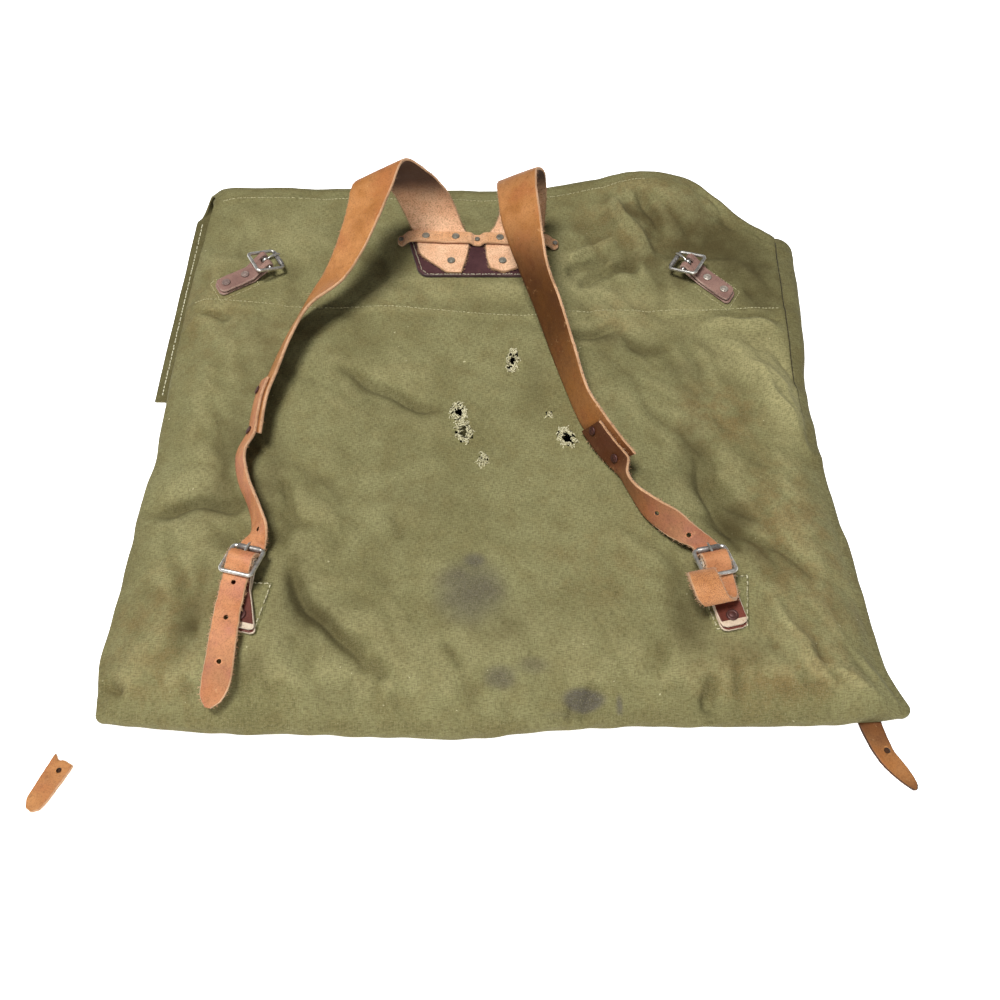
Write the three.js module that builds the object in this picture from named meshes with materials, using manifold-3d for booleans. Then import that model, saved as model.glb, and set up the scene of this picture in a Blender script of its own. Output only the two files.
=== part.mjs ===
// Canvas rucksack with leather shoulder straps, lying empty on its flap with the back panel up.
// Millimetres. +X is to the right, +Y runs from the bottom of the bag to its top, +Z is up.
import * as THREE from 'three';
import Module from 'manifold-3d';

const wasm = await Module();
wasm.setup();

// Thicknesses and clearances
const GAP = 0.3;
const CANVAS = 1.5;
const PATCH_CLOTH = 1.2;
const STRAP = 2.2;
const TAIL = 2.0;
const TAB = 1.8;
const BAND = 2.0;
const YOKE = 2.0;

// Back panel outline and rim heights. x and y are the seam, out is the outermost bulge of the
// gusset below it, rim is the height of the seam above the ground.
const LEFT_EDGE = [
  { y: -235, x: -237, out: -242, rim: 10 },
  { y: -207, x: -240, out: -246, rim: 14 },
  { y: -183, x: -239, out: -244, rim: 16 },
  { y: -140, x: -237, out: -242, rim: 18 },
  { y: -94, x: -237, out: -242, rim: 18 },
  { y: -61, x: -235, out: -239, rim: 18 },
  { y: -8, x: -237, out: -242, rim: 19 },
  { y: 60, x: -238, out: -243, rim: 21 },
  { y: 130, x: -236, out: -242, rim: 24 },
  { y: 205, x: -231, out: -238, rim: 28 },
];
const RIGHT_EDGE = [
  { y: -232, x: 240, out: 246, rim: 10 },
  { y: -208, x: 228, out: 235, rim: 14 },
  { y: -184, x: 226, out: 233, rim: 16 },
  { y: -141, x: 222, out: 230, rim: 18 },
  { y: -95, x: 217, out: 225, rim: 20 },
  { y: -45, x: 211, out: 221, rim: 24 },
  { y: -9, x: 210, out: 219, rim: 27 },
  { y: 53, x: 212, out: 227, rim: 29 },
  { y: 94, x: 213, out: 230, rim: 30 },
  { y: 148, x: 216, out: 233, rim: 33 },
];
const BOTTOM_EDGE = [
  { x: -239, y: -236, out: -241 },
  { x: -177, y: -242, out: -247 },
  { x: -118, y: -243, out: -248 },
  { x: -59, y: -245, out: -250 },
  { x: -24, y: -246, out: -251 },
  { x: 24, y: -242, out: -246 },
  { x: 83, y: -239, out: -243 },
  { x: 154, y: -239, out: -243 },
  { x: 214, y: -237, out: -241 },
  { x: 241, y: -233, out: -238 },
];
const TOP_EDGE = [
  { x: -232, y: 199, rim: 27 },
  { x: -223, y: 206, rim: 29 },
  { x: -196, y: 207.5, rim: 30 },
  { x: -130, y: 203, rim: 32 },
  { x: -33, y: 200.5, rim: 34 },
  { x: 20, y: 200, rim: 35 },
  { x: 50, y: 204, rim: 40 },
  { x: 96, y: 209, rim: 47 },
  { x: 129, y: 209, rim: 48 },
  { x: 159, y: 198, rim: 46 },
  { x: 187, y: 172, rim: 42 },
  { x: 205, y: 157, rim: 37 },
  { x: 216, y: 148, rim: 33 },
];
const BOTTOM_RIM = 12;
const LOWEST_RIM = 8;

// How far in from each edge the empty bag takes to rise to its full height
const RISE_IN = { left: 50, right: 34, bottom: 70, top: 22 };

// Height of the empty bag: a level plus broad swells
const LEVEL = 31;
const SWELLS = [
  { name: 'under the yoke', x: -17, y: 130, reachX: 110, reachY: 70, rise: 5 },
  { name: 'top right corner', x: 125, y: 195, reachX: 60, reachY: 45, rise: 15 },
];

// Folds of the back panel: a line, its half width and its rise, valleys negative
const FOLDS = [
  { name: 'to the moth holes', x0: -111, y0: 13, x1: -37, y1: -25, half: 14, rise: -4 },
  { name: 'right valley', x0: 128, y0: -61, x1: 152, y1: -135, half: 14, rise: -6 },
  { name: 'right ridge', x0: 171, y0: 39, x1: 212, y1: -60, half: 12, rise: 5 },
  { name: 'below right tab', x0: 150, y0: 60, x1: 206, y1: 52, half: 12, rise: 4 },
  { name: 'left crease', x0: -235, y0: -97, x1: -171, y1: -102, half: 9, rise: -5 },
  { name: 'from left buckle', x0: -130, y0: -160, x1: -80, y1: -214, half: 12, rise: -4 },
  { name: 'lower right ridge', x0: 170, y0: -200, x1: 228, y1: -236, half: 13, rise: 6 },
  { name: 'corner ridge', x0: 86, y0: 180, x1: 114, y1: 130, half: 12, rise: 5 },
  { name: 'corner valley', x0: 106, y0: 194, x1: 128, y1: 150, half: 9, rise: -5 },
  { name: 'beside the strap', x0: 60, y0: 96, x1: 86, y1: 121, half: 8, rise: -5 },
  { name: 'above right tab', x0: 86, y0: 121, x1: 110, y1: 118, half: 8, rise: -5 },
  { name: 'hem pucker right', x0: 126, y0: -240, x1: 122, y1: -216, half: 7, rise: -4 },
  { name: 'hem pucker middle', x0: 50, y0: -242, x1: 53, y1: -222, half: 7, rise: -4 },
];

// Places where sewn-on leather keeps the canvas flat
const PADS = {
  yoke: { x: -17, y: 124, halfX: 64, halfY: 24, z: 36 },
  upperLeft: { x: -191, y: 102, halfX: 25, halfY: 22, z: 31.6 },
  upperRight: { x: 155, y: 97, halfX: 25, halfY: 24, z: 32.6 },
  lowerLeft: { x: -157, y: -173, halfX: 20, halfY: 30, z: 32 },
  lowerRight: { x: 137, y: -172, halfX: 20, halfY: 30, z: 32 },
};
const PAD_FADE = 26;

// Holes eaten in the back panel: centre, half sizes and turn
const MOTH_HOLES = [
  { name: 'upper', x: 9, y: 22, halfX: 3.5, halfY: 8, turn: -10 },
  { name: 'long', x: -27, y: -32, halfX: 6, halfY: 15, turn: 15 },
  { name: 'right', x: 45, y: -47, halfX: 5.5, halfY: 6.5, turn: 30 },
  { name: 'small', x: -11, y: -65, halfX: 3, halfY: 3.5, turn: 0 },
];
const HOLE_CORNERS = 9;
const HOLE_RAGGED = { share: 0.28, waves: 3 };
const HOLE_CUT = { below: 12, depth: 24 };

// Flap, folded over the top and lying under the front
const FLAP = { left: -253, right: 222, hemY: 8, foldDepth: 13, foldRun: 3, seamGap: 1.1 };
const FRONT = { inset: 3.5, topGap: 8, overFlap: 2.2, rampFrom: -48, rampTo: -16 };
const GUSSET = {
  waist: 0.5, kneeIn: 0.35, kneeHigh: 0.12, foot: 2.2, seamDrop: 2.8, seamOut: 1, trim: 0.01,
};

// Yoke: dark backing patch, two strap ends on it and a riveted band across them
const YOKE_OUTLINE = [
  { x: -71, y: 141 }, { x: 36, y: 141 }, { x: 26, y: 106 }, { x: 21, y: 101 },
  { x: -57, y: 101 }, { x: -62, y: 106 },
];
const YOKE_TOP = PADS.yoke.z + GAP + YOKE;
const STRAP_SEAT = 0.5;
const STRAP_END_Z = YOKE_TOP + STRAP_SEAT + STRAP / 2;
const TURN_UP_Z = STRAP_END_Z + 2.5;
const BAND_LOW = PADS.yoke.z + GAP;
const BAND_MID = YOKE_TOP + GAP;
const BAND_SEAT = 0.4;
const BAND_HIGH = STRAP_END_Z + STRAP / 2 + BAND_SEAT;
const BAND_WIDTH = 11.5;
const BAND_Y = 137.3;
const BAND_TILT = -0.035;
const BAND_CENTRE_X = -17;
const BAND_ROWS = [
  { x: -79, z: BAND_LOW + 0.3 }, { x: -75, z: BAND_LOW + 0.5 }, { x: -72, z: BAND_MID + 1 },
  { x: -69, z: BAND_HIGH }, { x: -46, z: BAND_HIGH }, { x: -23.2, z: BAND_HIGH },
  { x: -21.4, z: BAND_HIGH - 1.2 }, { x: -20, z: BAND_MID + 0.4 }, { x: -15, z: BAND_MID + 0.4 },
  { x: -13.6, z: BAND_HIGH - 1.2 }, { x: -11.8, z: BAND_HIGH }, { x: 11, z: BAND_HIGH },
  { x: 35, z: BAND_HIGH }, { x: 38, z: BAND_MID + 1 }, { x: 41, z: BAND_LOW + 0.5 },
  { x: 45, z: BAND_LOW + 0.3 },
];

// Buckles with their tabs. heading points from the bar to the end of the tab, bar is the height
// of the centre bar above the cloth, reach the distance from the centre bar to the end bars.
const BUCKLES = {
  upperLeft: {
    name: 'upper_left', x: -177.5, y: 113.6, floor: PADS.upperLeft.z + GAP, heading: -150, bar: 9.4,
    width: 22.8, reach: 10.2, wire: 1.1, roller: 1.75, tilt: 16, skew: 12,
    tabWidth: 15, tabLength: 40, tabLand: 14, tabShear: 0.06, rivets: [18, 33.5], rivetRadius: 3.2,
  },
  upperRight: {
    name: 'upper_right', x: 141.7, y: 110.8, floor: PADS.upperRight.z + GAP, heading: -30, bar: 9.1,
    width: 22.8, reach: 10.2, wire: 1.1, roller: 1.75, tilt: 12, skew: -24,
    tabWidth: 15.4, tabLength: 40.5, tabLand: 14, tabShear: -0.33, rivets: [18, 33.8], rivetRadius: 3.2,
  },
  lowerLeft: {
    name: 'lower_left', x: -158, y: -152, floor: PADS.lowerLeft.z + 2 * GAP + PATCH_CLOTH,
    heading: -104, bar: 11, width: 22.5, reach: 10.8, wire: 1.2, roller: 1.9, tilt: 13, skew: 0,
    tabWidth: 17, tabLength: 40, tabLand: 14, tabShear: 0.5, rivets: [32], rivetRadius: 3.8,
  },
  lowerRight: {
    name: 'lower_right', x: 131.5, y: -152.5, floor: PADS.lowerRight.z + 2 * GAP + PATCH_CLOTH,
    heading: -77, bar: 11, width: 22.5, reach: 10.8, wire: 1.2, roller: 1.9, tilt: 13, skew: 0,
    tabWidth: 17, tabLength: 41, tabLand: 14, tabShear: 0, rivets: [34.5], rivetRadius: 3.8,
  },
};
const TAB_STRAIGHT = 12;
const TAB_LAYERS = GAP * 1.7;
const TAB_FOLD = { run: 6, lift: 0.2, longer: 1.5, turns: 8 };
const BUCKLE_CORNER = { radius: 2.4, steps: 3 };
const ROLLER_END_ROOM = 1.6;
const PRONG = { wire: 0.8, root: 0.7, kneeBack: 4.4, kneeHigh: 0.94, past: 2.6, dip: 0.5, room: 0.7 };
const PRONG_RING = { inner: 0.35, wall: 1.15, width: 2.2 };
const TAB_SLOT = { half: 2.8, front: 5, back: 3.8, depth: 4.4 };
const TUBE_SIDES = 8;
const TURN_SIDES = 14;

// Cloth patches under the lower tabs
const PATCHES = {
  patch_lower_left: [
    { x: -174, y: -158 }, { x: -166, y: -197 }, { x: -146, y: -197 }, { x: -139, y: -160 },
  ],
  patch_lower_right: [
    { x: 120, y: -157 }, { x: 129, y: -196 }, { x: 150, y: -194 }, { x: 155, y: -154 },
  ],
};

// The closing strap that comes out under the bottom seam lies below the front panel
const CLOSING_ROWS = [
  { y: 4, left: 197, right: 213 },
  { y: -100, left: 203, right: 219 },
  { y: -200, left: 211, right: 227 },
  { y: -240, left: 215, right: 229 },
  { y: -257, left: 220, right: 233 },
  { y: -268, left: 226, right: 239 },
  { y: -279, left: 237, right: 242 },
];
const CLOSING_HOLE = { x: 228.5, y: -257, radius: 1.9 };
const STRAP_COVER = { near: 30, far: 58 };

// A torn-off strap tip lying by the bottom corner
const TORN_OUTLINE = [
  { x: -262, y: -258 }, { x: -259.5, y: -263 }, { x: -256, y: -262.5 }, { x: -250, y: -266 },
  { x: -255, y: -277 }, { x: -260, y: -287 }, { x: -263.5, y: -292 }, { x: -268, y: -293.5 },
  { x: -272, y: -290.5 }, { x: -272.5, y: -285 }, { x: -268, y: -273 },
];
const TORN_HOLE = { x: -257.5, y: -269, radius: 1.6 };

// Rivets of the yoke
const BAND_RIVETS = [
  { x: -76.5, foot: BAND_LOW + 0.9 }, { x: -57, foot: BAND_HIGH }, { x: -34, foot: BAND_HIGH },
  { x: -17.5, foot: BAND_MID + 0.4 }, { x: 0, foot: BAND_HIGH }, { x: 24, foot: BAND_HIGH },
  { x: 42.5, foot: BAND_LOW + 0.9 },
];
const BAND_RIVET_RADIUS = { high: 3, low: 2 };
const END_RIVETS = { left: { x: -37, y: 114 }, right: { x: 2, y: 114 } };

// Small helpers for points, tables and angles
const at = (x, y, z) => new THREE.Vector3(x, y, z);
const UP = at(0, 0, 1);
const ACROSS = at(0, 1, 0);
const { lerp, smoothstep, degToRad } = THREE.MathUtils;

function readTable(rows, key, column, where) {
  const last = rows.length - 1;
  if (where <= rows[0][key]) {
    return rows[0][column];
  }
  if (where >= rows[last][key]) {
    return rows[last][column];
  }
  let i = 0;
  while (rows[i + 1][key] < where) {
    i += 1;
  }
  const slope = (k) => {
    const before = rows[Math.max(k - 1, 0)];
    const after = rows[Math.min(k + 1, last)];
    return (after[column] - before[column]) / (after[key] - before[key]);
  };
  const from = rows[i];
  const to = rows[i + 1];
  const span = to[key] - from[key];
  const t = (where - from[key]) / span;
  const ease = t * t * (3 - 2 * t);
  const leave = t * (1 - t) * (1 - t) * span * slope(i);
  const arrive = t * t * (t - 1) * span * slope(i + 1);
  return lerp(from[column], to[column], ease) + leave + arrive;
}

// Solid builders: every one returns a closed surface with its faces outward
function closedSolid(points, triangles) {
  let volume = 0;
  const side = new THREE.Vector3();
  for (let k = 0; k < triangles.length; k += 3) {
    side.crossVectors(points[triangles[k + 1]], points[triangles[k + 2]]);
    volume += points[triangles[k]].dot(side);
  }
  const faces = volume > 0 ? triangles : triangles.slice().reverse();
  const geometry = new THREE.BufferGeometry();
  const numbers = points.flatMap((p) => p.toArray());
  geometry.setAttribute('position', new THREE.Float32BufferAttribute(numbers, 3));
  geometry.setIndex(faces);
  return geometry;
}

function addQuad(triangles, a, b, c, d) {
  triangles.push(a, b, c, a, c, d);
}

function skinRings(rings, looped) {
  const size = rings[0].length;
  const points = rings.flat();
  const triangles = [];
  const spans = looped ? rings.length : rings.length - 1;
  for (let j = 0; j < spans; j += 1) {
    const here = j * size;
    const next = ((j + 1) % rings.length) * size;
    for (let i = 0; i < size; i += 1) {
      const k = (i + 1) % size;
      addQuad(triangles, here + i, here + k, next + k, next + i);
    }
  }
  if (!looped) {
    const end = (rings.length - 1) * size;
    for (let i = 1; i < size - 1; i += 1) {
      triangles.push(0, i + 1, i);
      triangles.push(end, end + i, end + i + 1);
    }
  }
  return closedSolid(points, triangles);
}

function sheetSolid(pointAt, across, along, thickness) {
  const row = across + 1;
  const outer = [];
  for (let j = 0; j <= along; j += 1) {
    for (let i = 0; i <= across; i += 1) {
      outer.push(pointAt(i / across, j / along));
    }
  }
  const inner = outer.map((p, k) => {
    const i = k % row;
    const j = Math.floor(k / row);
    const node = (m, n) => outer[n * row + m];
    const du = node(Math.min(i + 1, across), j).clone().sub(node(Math.max(i - 1, 0), j));
    const dv = node(i, Math.min(j + 1, along)).clone().sub(node(i, Math.max(j - 1, 0)));
    return p.clone().addScaledVector(du.cross(dv).normalize(), -thickness);
  });
  const shift = outer.length;
  const triangles = [];
  for (let j = 0; j < along; j += 1) {
    for (let i = 0; i < across; i += 1) {
      const k = j * row + i;
      addQuad(triangles, k, k + 1, k + row + 1, k + row);
      addQuad(triangles, shift + k, shift + k + row, shift + k + row + 1, shift + k + 1);
    }
  }
  for (let i = 0; i < across; i += 1) {
    const far = along * row + i;
    addQuad(triangles, i + 1, i, shift + i, shift + i + 1);
    addQuad(triangles, far, far + 1, shift + far + 1, shift + far);
  }
  for (let j = 0; j < along; j += 1) {
    const left = j * row;
    const right = left + across;
    addQuad(triangles, left, left + row, shift + left + row, shift + left);
    addQuad(triangles, right + row, right, shift + right, shift + right + row);
  }
  return closedSolid(outer.concat(inner), triangles);
}

// A ribbon is a list of stations, each with its low edge, its high edge and its grain side
function ribbonStations(rows, steps) {
  const low = new THREE.CatmullRomCurve3(rows.map((r) => r.low.clone()));
  const high = new THREE.CatmullRomCurve3(rows.map((r) => r.high.clone()));
  const count = (rows.length - 1) * steps;
  const stations = [];
  for (let k = 0; k <= count; k += 1) {
    stations.push({ low: low.getPoint(k / count), high: high.getPoint(k / count) });
  }
  const middle = stations.map((s) => s.low.clone().add(s.high).multiplyScalar(0.5));
  stations.forEach((s, k) => {
    const run = middle[Math.min(k + 1, count)].clone().sub(middle[Math.max(k - 1, 0)]);
    s.run = run.normalize();
    s.grain = s.run.clone().cross(s.high.clone().sub(s.low)).normalize();
  });
  return stations;
}

function ribbonSolid(stations, thickness) {
  const half = thickness / 2;
  const rings = stations.map((s) => [
    s.low.clone().addScaledVector(s.grain, half),
    s.high.clone().addScaledVector(s.grain, half),
    s.high.clone().addScaledVector(s.grain, -half),
    s.low.clone().addScaledVector(s.grain, -half),
  ]);
  return skinRings(rings, false);
}

// A round bar along a path that stays in the plane square to the given normal
function barSolid(path, radius, normal, looped) {
  const count = path.length;
  const rings = path.map((p, k) => {
    const before = looped ? path[(k + count - 1) % count] : path[Math.max(k - 1, 0)];
    const after = looped ? path[(k + 1) % count] : path[Math.min(k + 1, count - 1)];
    const run = after.clone().sub(before).normalize();
    const side = run.cross(normal).normalize();
    return Array.from({ length: TUBE_SIDES }, (_, i) => {
      const angle = (2 * Math.PI * i) / TUBE_SIDES;
      return p.clone().addScaledVector(side, radius * Math.cos(angle))
        .addScaledVector(normal, radius * Math.sin(angle));
    });
  });
  return skinRings(rings, looped);
}

// A turned shape about the Z axis from rows of radius and height
function turnedSolid(profile, looped) {
  const rings = profile.map((row) => Array.from({ length: TURN_SIDES }, (_, i) => {
    const angle = (2 * Math.PI * i) / TURN_SIDES;
    return at(row.r * Math.cos(angle), row.r * Math.sin(angle), row.z);
  }));
  return skinRings(rings, looped);
}

function plateSolid(outline, bottom, thickness) {
  const lower = outline.map((p) => at(p.x, p.y, bottom));
  const upper = outline.map((p) => at(p.x, p.y, bottom + thickness));
  return skinRings([lower, upper], false);
}

function toSolid(geometry) {
  const mesh = new wasm.Mesh({
    numProp: 3,
    vertProperties: new Float32Array(geometry.getAttribute('position').array),
    triVerts: new Uint32Array(geometry.getIndex().array),
  });
  return new wasm.Manifold(mesh);
}

function fromSolid(solid) {
  const mesh = solid.getMesh();
  const geometry = new THREE.BufferGeometry();
  const numbers = Array.from(mesh.vertProperties);
  geometry.setAttribute('position', new THREE.Float32BufferAttribute(numbers, 3));
  geometry.setIndex(Array.from(mesh.triVerts));
  return geometry;
}

function cutAway(geometry, cutters) {
  const solid = cutters.reduce((body, cutter) => body.subtract(toSolid(cutter)), toSolid(geometry));
  return fromSolid(solid);
}

function joined(geometries) {
  const [first, ...rest] = geometries.map(toSolid);
  return fromSolid(rest.reduce((body, next) => body.add(next), first));
}

// Height of the outer face of the back panel above the ground
function lineDistance(fold, x, y) {
  const dx = fold.x1 - fold.x0;
  const dy = fold.y1 - fold.y0;
  const along = ((x - fold.x0) * dx + (y - fold.y0) * dy) / (dx * dx + dy * dy);
  const t = THREE.MathUtils.clamp(along, 0, 1);
  return Math.hypot(x - fold.x0 - t * dx, y - fold.y0 - t * dy);
}

function edgeDrop(inward, reach, full, rim) {
  const t = THREE.MathUtils.clamp(1 - inward / reach, 0, 1);
  return (full - rim) * t * t;
}

function backTop(x, y) {
  let full = LEVEL;
  for (const swell of SWELLS) {
    const away = ((x - swell.x) / swell.reachX) ** 2 + ((y - swell.y) / swell.reachY) ** 2;
    full += swell.rise * Math.exp(-away);
  }
  const fromLeft = x - readTable(LEFT_EDGE, 'y', 'x', y);
  const fromRight = readTable(RIGHT_EDGE, 'y', 'x', y) - x;
  const fromBottom = y - readTable(BOTTOM_EDGE, 'x', 'y', x);
  const fromTop = readTable(TOP_EDGE, 'x', 'y', x) - y;
  const drop = Math.max(
    edgeDrop(fromLeft, RISE_IN.left, full, readTable(LEFT_EDGE, 'y', 'rim', y)),
    edgeDrop(fromRight, RISE_IN.right, full, readTable(RIGHT_EDGE, 'y', 'rim', y)),
    edgeDrop(fromBottom, RISE_IN.bottom, full, BOTTOM_RIM),
    edgeDrop(fromTop, RISE_IN.top, full, readTable(TOP_EDGE, 'x', 'rim', x)),
  );
  let height = full - drop;
  for (const fold of FOLDS) {
    height += fold.rise * Math.exp(-((lineDistance(fold, x, y) / fold.half) ** 2));
  }
  for (const pad of Object.values(PADS)) {
    const out = Math.max(Math.abs(x - pad.x) - pad.halfX, Math.abs(y - pad.y) - pad.halfY, 0);
    height = lerp(height, pad.z, 1 - smoothstep(out, 0, PAD_FADE));
  }
  return Math.max(height, LOWEST_RIM);
}

// Canvas panels
const BACK_GRID = { across: 28, along: 26 };
const FRONT_GRID = { across: 18, along: 10 };
const GUSSET_STEPS = 4;
const EDGE_PASSES = 4;
const FLAP_GRID = { fold: 6, floor: 3 };

function backPoint(u, v) {
  let x = lerp(LEFT_EDGE[0].x, RIGHT_EDGE[0].x, u);
  let y = 0;
  for (let pass = 0; pass < EDGE_PASSES; pass += 1) {
    y = lerp(readTable(BOTTOM_EDGE, 'x', 'y', x), readTable(TOP_EDGE, 'x', 'y', x), v);
    x = lerp(readTable(LEFT_EDGE, 'y', 'x', y), readTable(RIGHT_EDGE, 'y', 'x', y), u);
  }
  return at(x, y, backTop(x, y));
}

function holeCutter(hole) {
  const turn = degToRad(hole.turn);
  const outline = Array.from({ length: HOLE_CORNERS }, (_, k) => {
    const angle = (2 * Math.PI * k) / HOLE_CORNERS;
    const ragged = 1 - HOLE_RAGGED.share * (k % 2) * Math.abs(Math.sin(angle * HOLE_RAGGED.waves + hole.x));
    const dx = hole.halfX * ragged * Math.cos(angle);
    const dy = hole.halfY * ragged * Math.sin(angle);
    return {
      x: hole.x + dx * Math.cos(turn) - dy * Math.sin(turn),
      y: hole.y + dx * Math.sin(turn) + dy * Math.cos(turn),
    };
  });
  return plateSolid(outline, LEVEL - HOLE_CUT.below, HOLE_CUT.depth);
}

function backPanel() {
  const sheet = sheetSolid(backPoint, BACK_GRID.across, BACK_GRID.along, CANVAS);
  return cutAway(sheet, MOTH_HOLES.map(holeCutter));
}

function frontLift(x, y) {
  const flap = FRONT.overFlap * smoothstep(y, FRONT.rampFrom, FRONT.rampTo);
  const rows = CLOSING_ROWS.slice().reverse();
  const middle = (readTable(rows, 'y', 'left', y) + readTable(rows, 'y', 'right', y)) / 2;
  const away = smoothstep(Math.abs(x - middle), STRAP_COVER.near, STRAP_COVER.far);
  return Math.max(flap, (TAIL + GAP) * (1 - away));
}

function frontSide(rows, y, inward) {
  return readTable(rows, 'y', 'out', y) + inward * FRONT.inset;
}

function frontPoint(u, v) {
  let x = lerp(LEFT_EDGE[0].x, RIGHT_EDGE[0].x, u);
  let y = 0;
  for (let pass = 0; pass < EDGE_PASSES; pass += 1) {
    const bottom = readTable(BOTTOM_EDGE, 'x', 'out', x) + FRONT.inset;
    y = lerp(bottom, readTable(TOP_EDGE, 'x', 'y', x) - FRONT.topGap, v);
    x = lerp(frontSide(LEFT_EDGE, y, 1), frontSide(RIGHT_EDGE, y, -1), u);
  }
  return at(x, y, frontLift(x, y));
}

function frontPanel() {
  const facingDown = (u, v) => frontPoint(1 - u, v);
  return sheetSolid(facingDown, FRONT_GRID.across, FRONT_GRID.along, CANVAS);
}

// A gusset runs from the back seam, round its bulge, down to the edge of the front panel
function gussetSection(seam, outermost, foot, t) {
  const top = seam.clone();
  const waist = outermost.clone();
  waist.z = lerp(foot.z, seam.z, GUSSET.waist);
  const knee = outermost.clone().lerp(foot, GUSSET.kneeIn);
  knee.z = lerp(foot.z, seam.z, GUSSET.kneeHigh);
  const curve = new THREE.CatmullRomCurve3([top, waist, knee, foot]);
  return curve.getPoint(t);
}

function sideGusset(rows, inward) {
  const edge = inward > 0 ? 0 : 1;
  const pointAt = (u, v) => {
    const seam = backPoint(edge, lerp(GUSSET.trim, 1 - GUSSET.trim, v));
    const y = seam.y;
    const outermost = at(readTable(rows, 'y', 'out', y), y, 0);
    const footX = frontSide(rows, y, inward) - inward * GAP * 2;
    const foot = at(footX, y, frontLift(footX, y) + GUSSET.foot);
    seam.x -= inward * GUSSET.seamOut;
    seam.z -= GUSSET.seamDrop;
    return gussetSection(seam, outermost, foot, inward > 0 ? 1 - u : u);
  };
  return sheetSolid(pointAt, GUSSET_STEPS, BACK_GRID.along, CANVAS);
}

function bottomGusset() {
  const pointAt = (u, v) => {
    const seam = backPoint(lerp(GUSSET.trim, 1 - GUSSET.trim, u), 0);
    const outermost = at(seam.x, readTable(BOTTOM_EDGE, 'x', 'out', seam.x), 0);
    const footY = outermost.y + FRONT.inset - GAP * 2;
    const foot = at(seam.x, footY, frontLift(seam.x, footY) + GUSSET.foot);
    seam.y -= GUSSET.seamOut;
    seam.z -= GUSSET.seamDrop;
    return gussetSection(seam, outermost, foot, 1 - v);
  };
  return sheetSolid(pointAt, BACK_GRID.across, GUSSET_STEPS, CANVAS);
}

function flapSheet() {
  const along = FLAP_GRID.fold + FLAP_GRID.floor;
  const pointAt = (u, v) => {
    const step = Math.round(v * along);
    const seam = backPoint(u, 1);
    const seamX = seam.x;
    const seamY = seam.y + FLAP.seamGap;
    const seamZ = seam.z - GAP;
    const floorX = lerp(FLAP.left, FLAP.right, u);
    const floorY = seamY + FLAP.foldRun;
    if (step <= FLAP_GRID.fold) {
      const t = step / FLAP_GRID.fold;
      const bulge = FLAP.foldDepth * Math.sin(Math.PI * t);
      const height = (seamZ / 2) * (1 + Math.cos(Math.PI * t));
      return at(lerp(seamX, floorX, t), lerp(seamY, floorY, t) + bulge, height);
    }
    const t = (step - FLAP_GRID.fold) / FLAP_GRID.floor;
    return at(floorX, lerp(floorY, FLAP.hemY, t), 0);
  };
  return sheetSolid(pointAt, BACK_GRID.across, along, CANVAS);
}

// Shoulder straps: low and high are the left and right edge of the strap, seen from the bottom end
const REST_CLEAR = 1.9;
const rest = (x, y) => at(x, y, backTop(x, y) + REST_CLEAR);
const sewn = (x, y) => at(x, y, STRAP_END_Z);
const LEFT_STRAP_ROWS = [
  { name: 'cut end', low: sewn(-41, 103), high: sewn(-29, 102.4) },
  { name: 'bevel', low: sewn(-49, 110.5), high: sewn(-27.4, 110.5) },
  { name: 'bevel end', low: sewn(-56.5, 117.5), high: sewn(-25.8, 117.5) },
  { name: 'side', low: sewn(-60.5, 122), high: sewn(-24.8, 122) },
  { name: 'below band', low: sewn(-63, 130), high: sewn(-24, 130) },
  { name: 'under band', low: sewn(-65, 140), high: sewn(-25, 140) },
  { name: 'above band', low: sewn(-67, 146), high: sewn(-27, 147) },
  { name: 'turn up', low: at(-69, 149.5, TURN_UP_Z), high: at(-29, 150.5, TURN_UP_Z) },
  { name: 'rise', low: at(-74, 153, 55), high: at(-34, 156, 56) },
  { name: 'loop back', low: at(-82, 154, 74), high: at(-40, 154, 74) },
  { name: 'loop top', low: at(-94, 147, 91), high: at(-52, 150, 94) },
  { name: 'apex', low: at(-106, 134, 96), high: at(-68, 143, 111) },
  { name: 'fall 1', low: at(-111, 115, 86), high: at(-77, 118, 106) },
  { name: 'fall 2', low: at(-119, 93, 72), high: at(-86, 94, 98) },
  { name: 'fall 3', low: at(-128, 82, 58), high: at(-97, 79, 83) },
  { name: 'fall 4', low: at(-138, 74, 46), high: at(-112, 67, 67) },
  { name: 'edge down 1', low: rest(-149, 60), high: at(-134, 48, 62) },
  { name: 'edge down 2', low: rest(-156, 37), high: at(-145, 21, 59) },
  { name: 'edge down 3', low: rest(-163, 7), high: at(-152, -7, 55) },
  { name: 'splice', low: rest(-167, -13), high: at(-157, -27, 52) },
  { name: 'lower end', low: rest(-168, -44), high: at(-158, -58, 50) },
];
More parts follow.
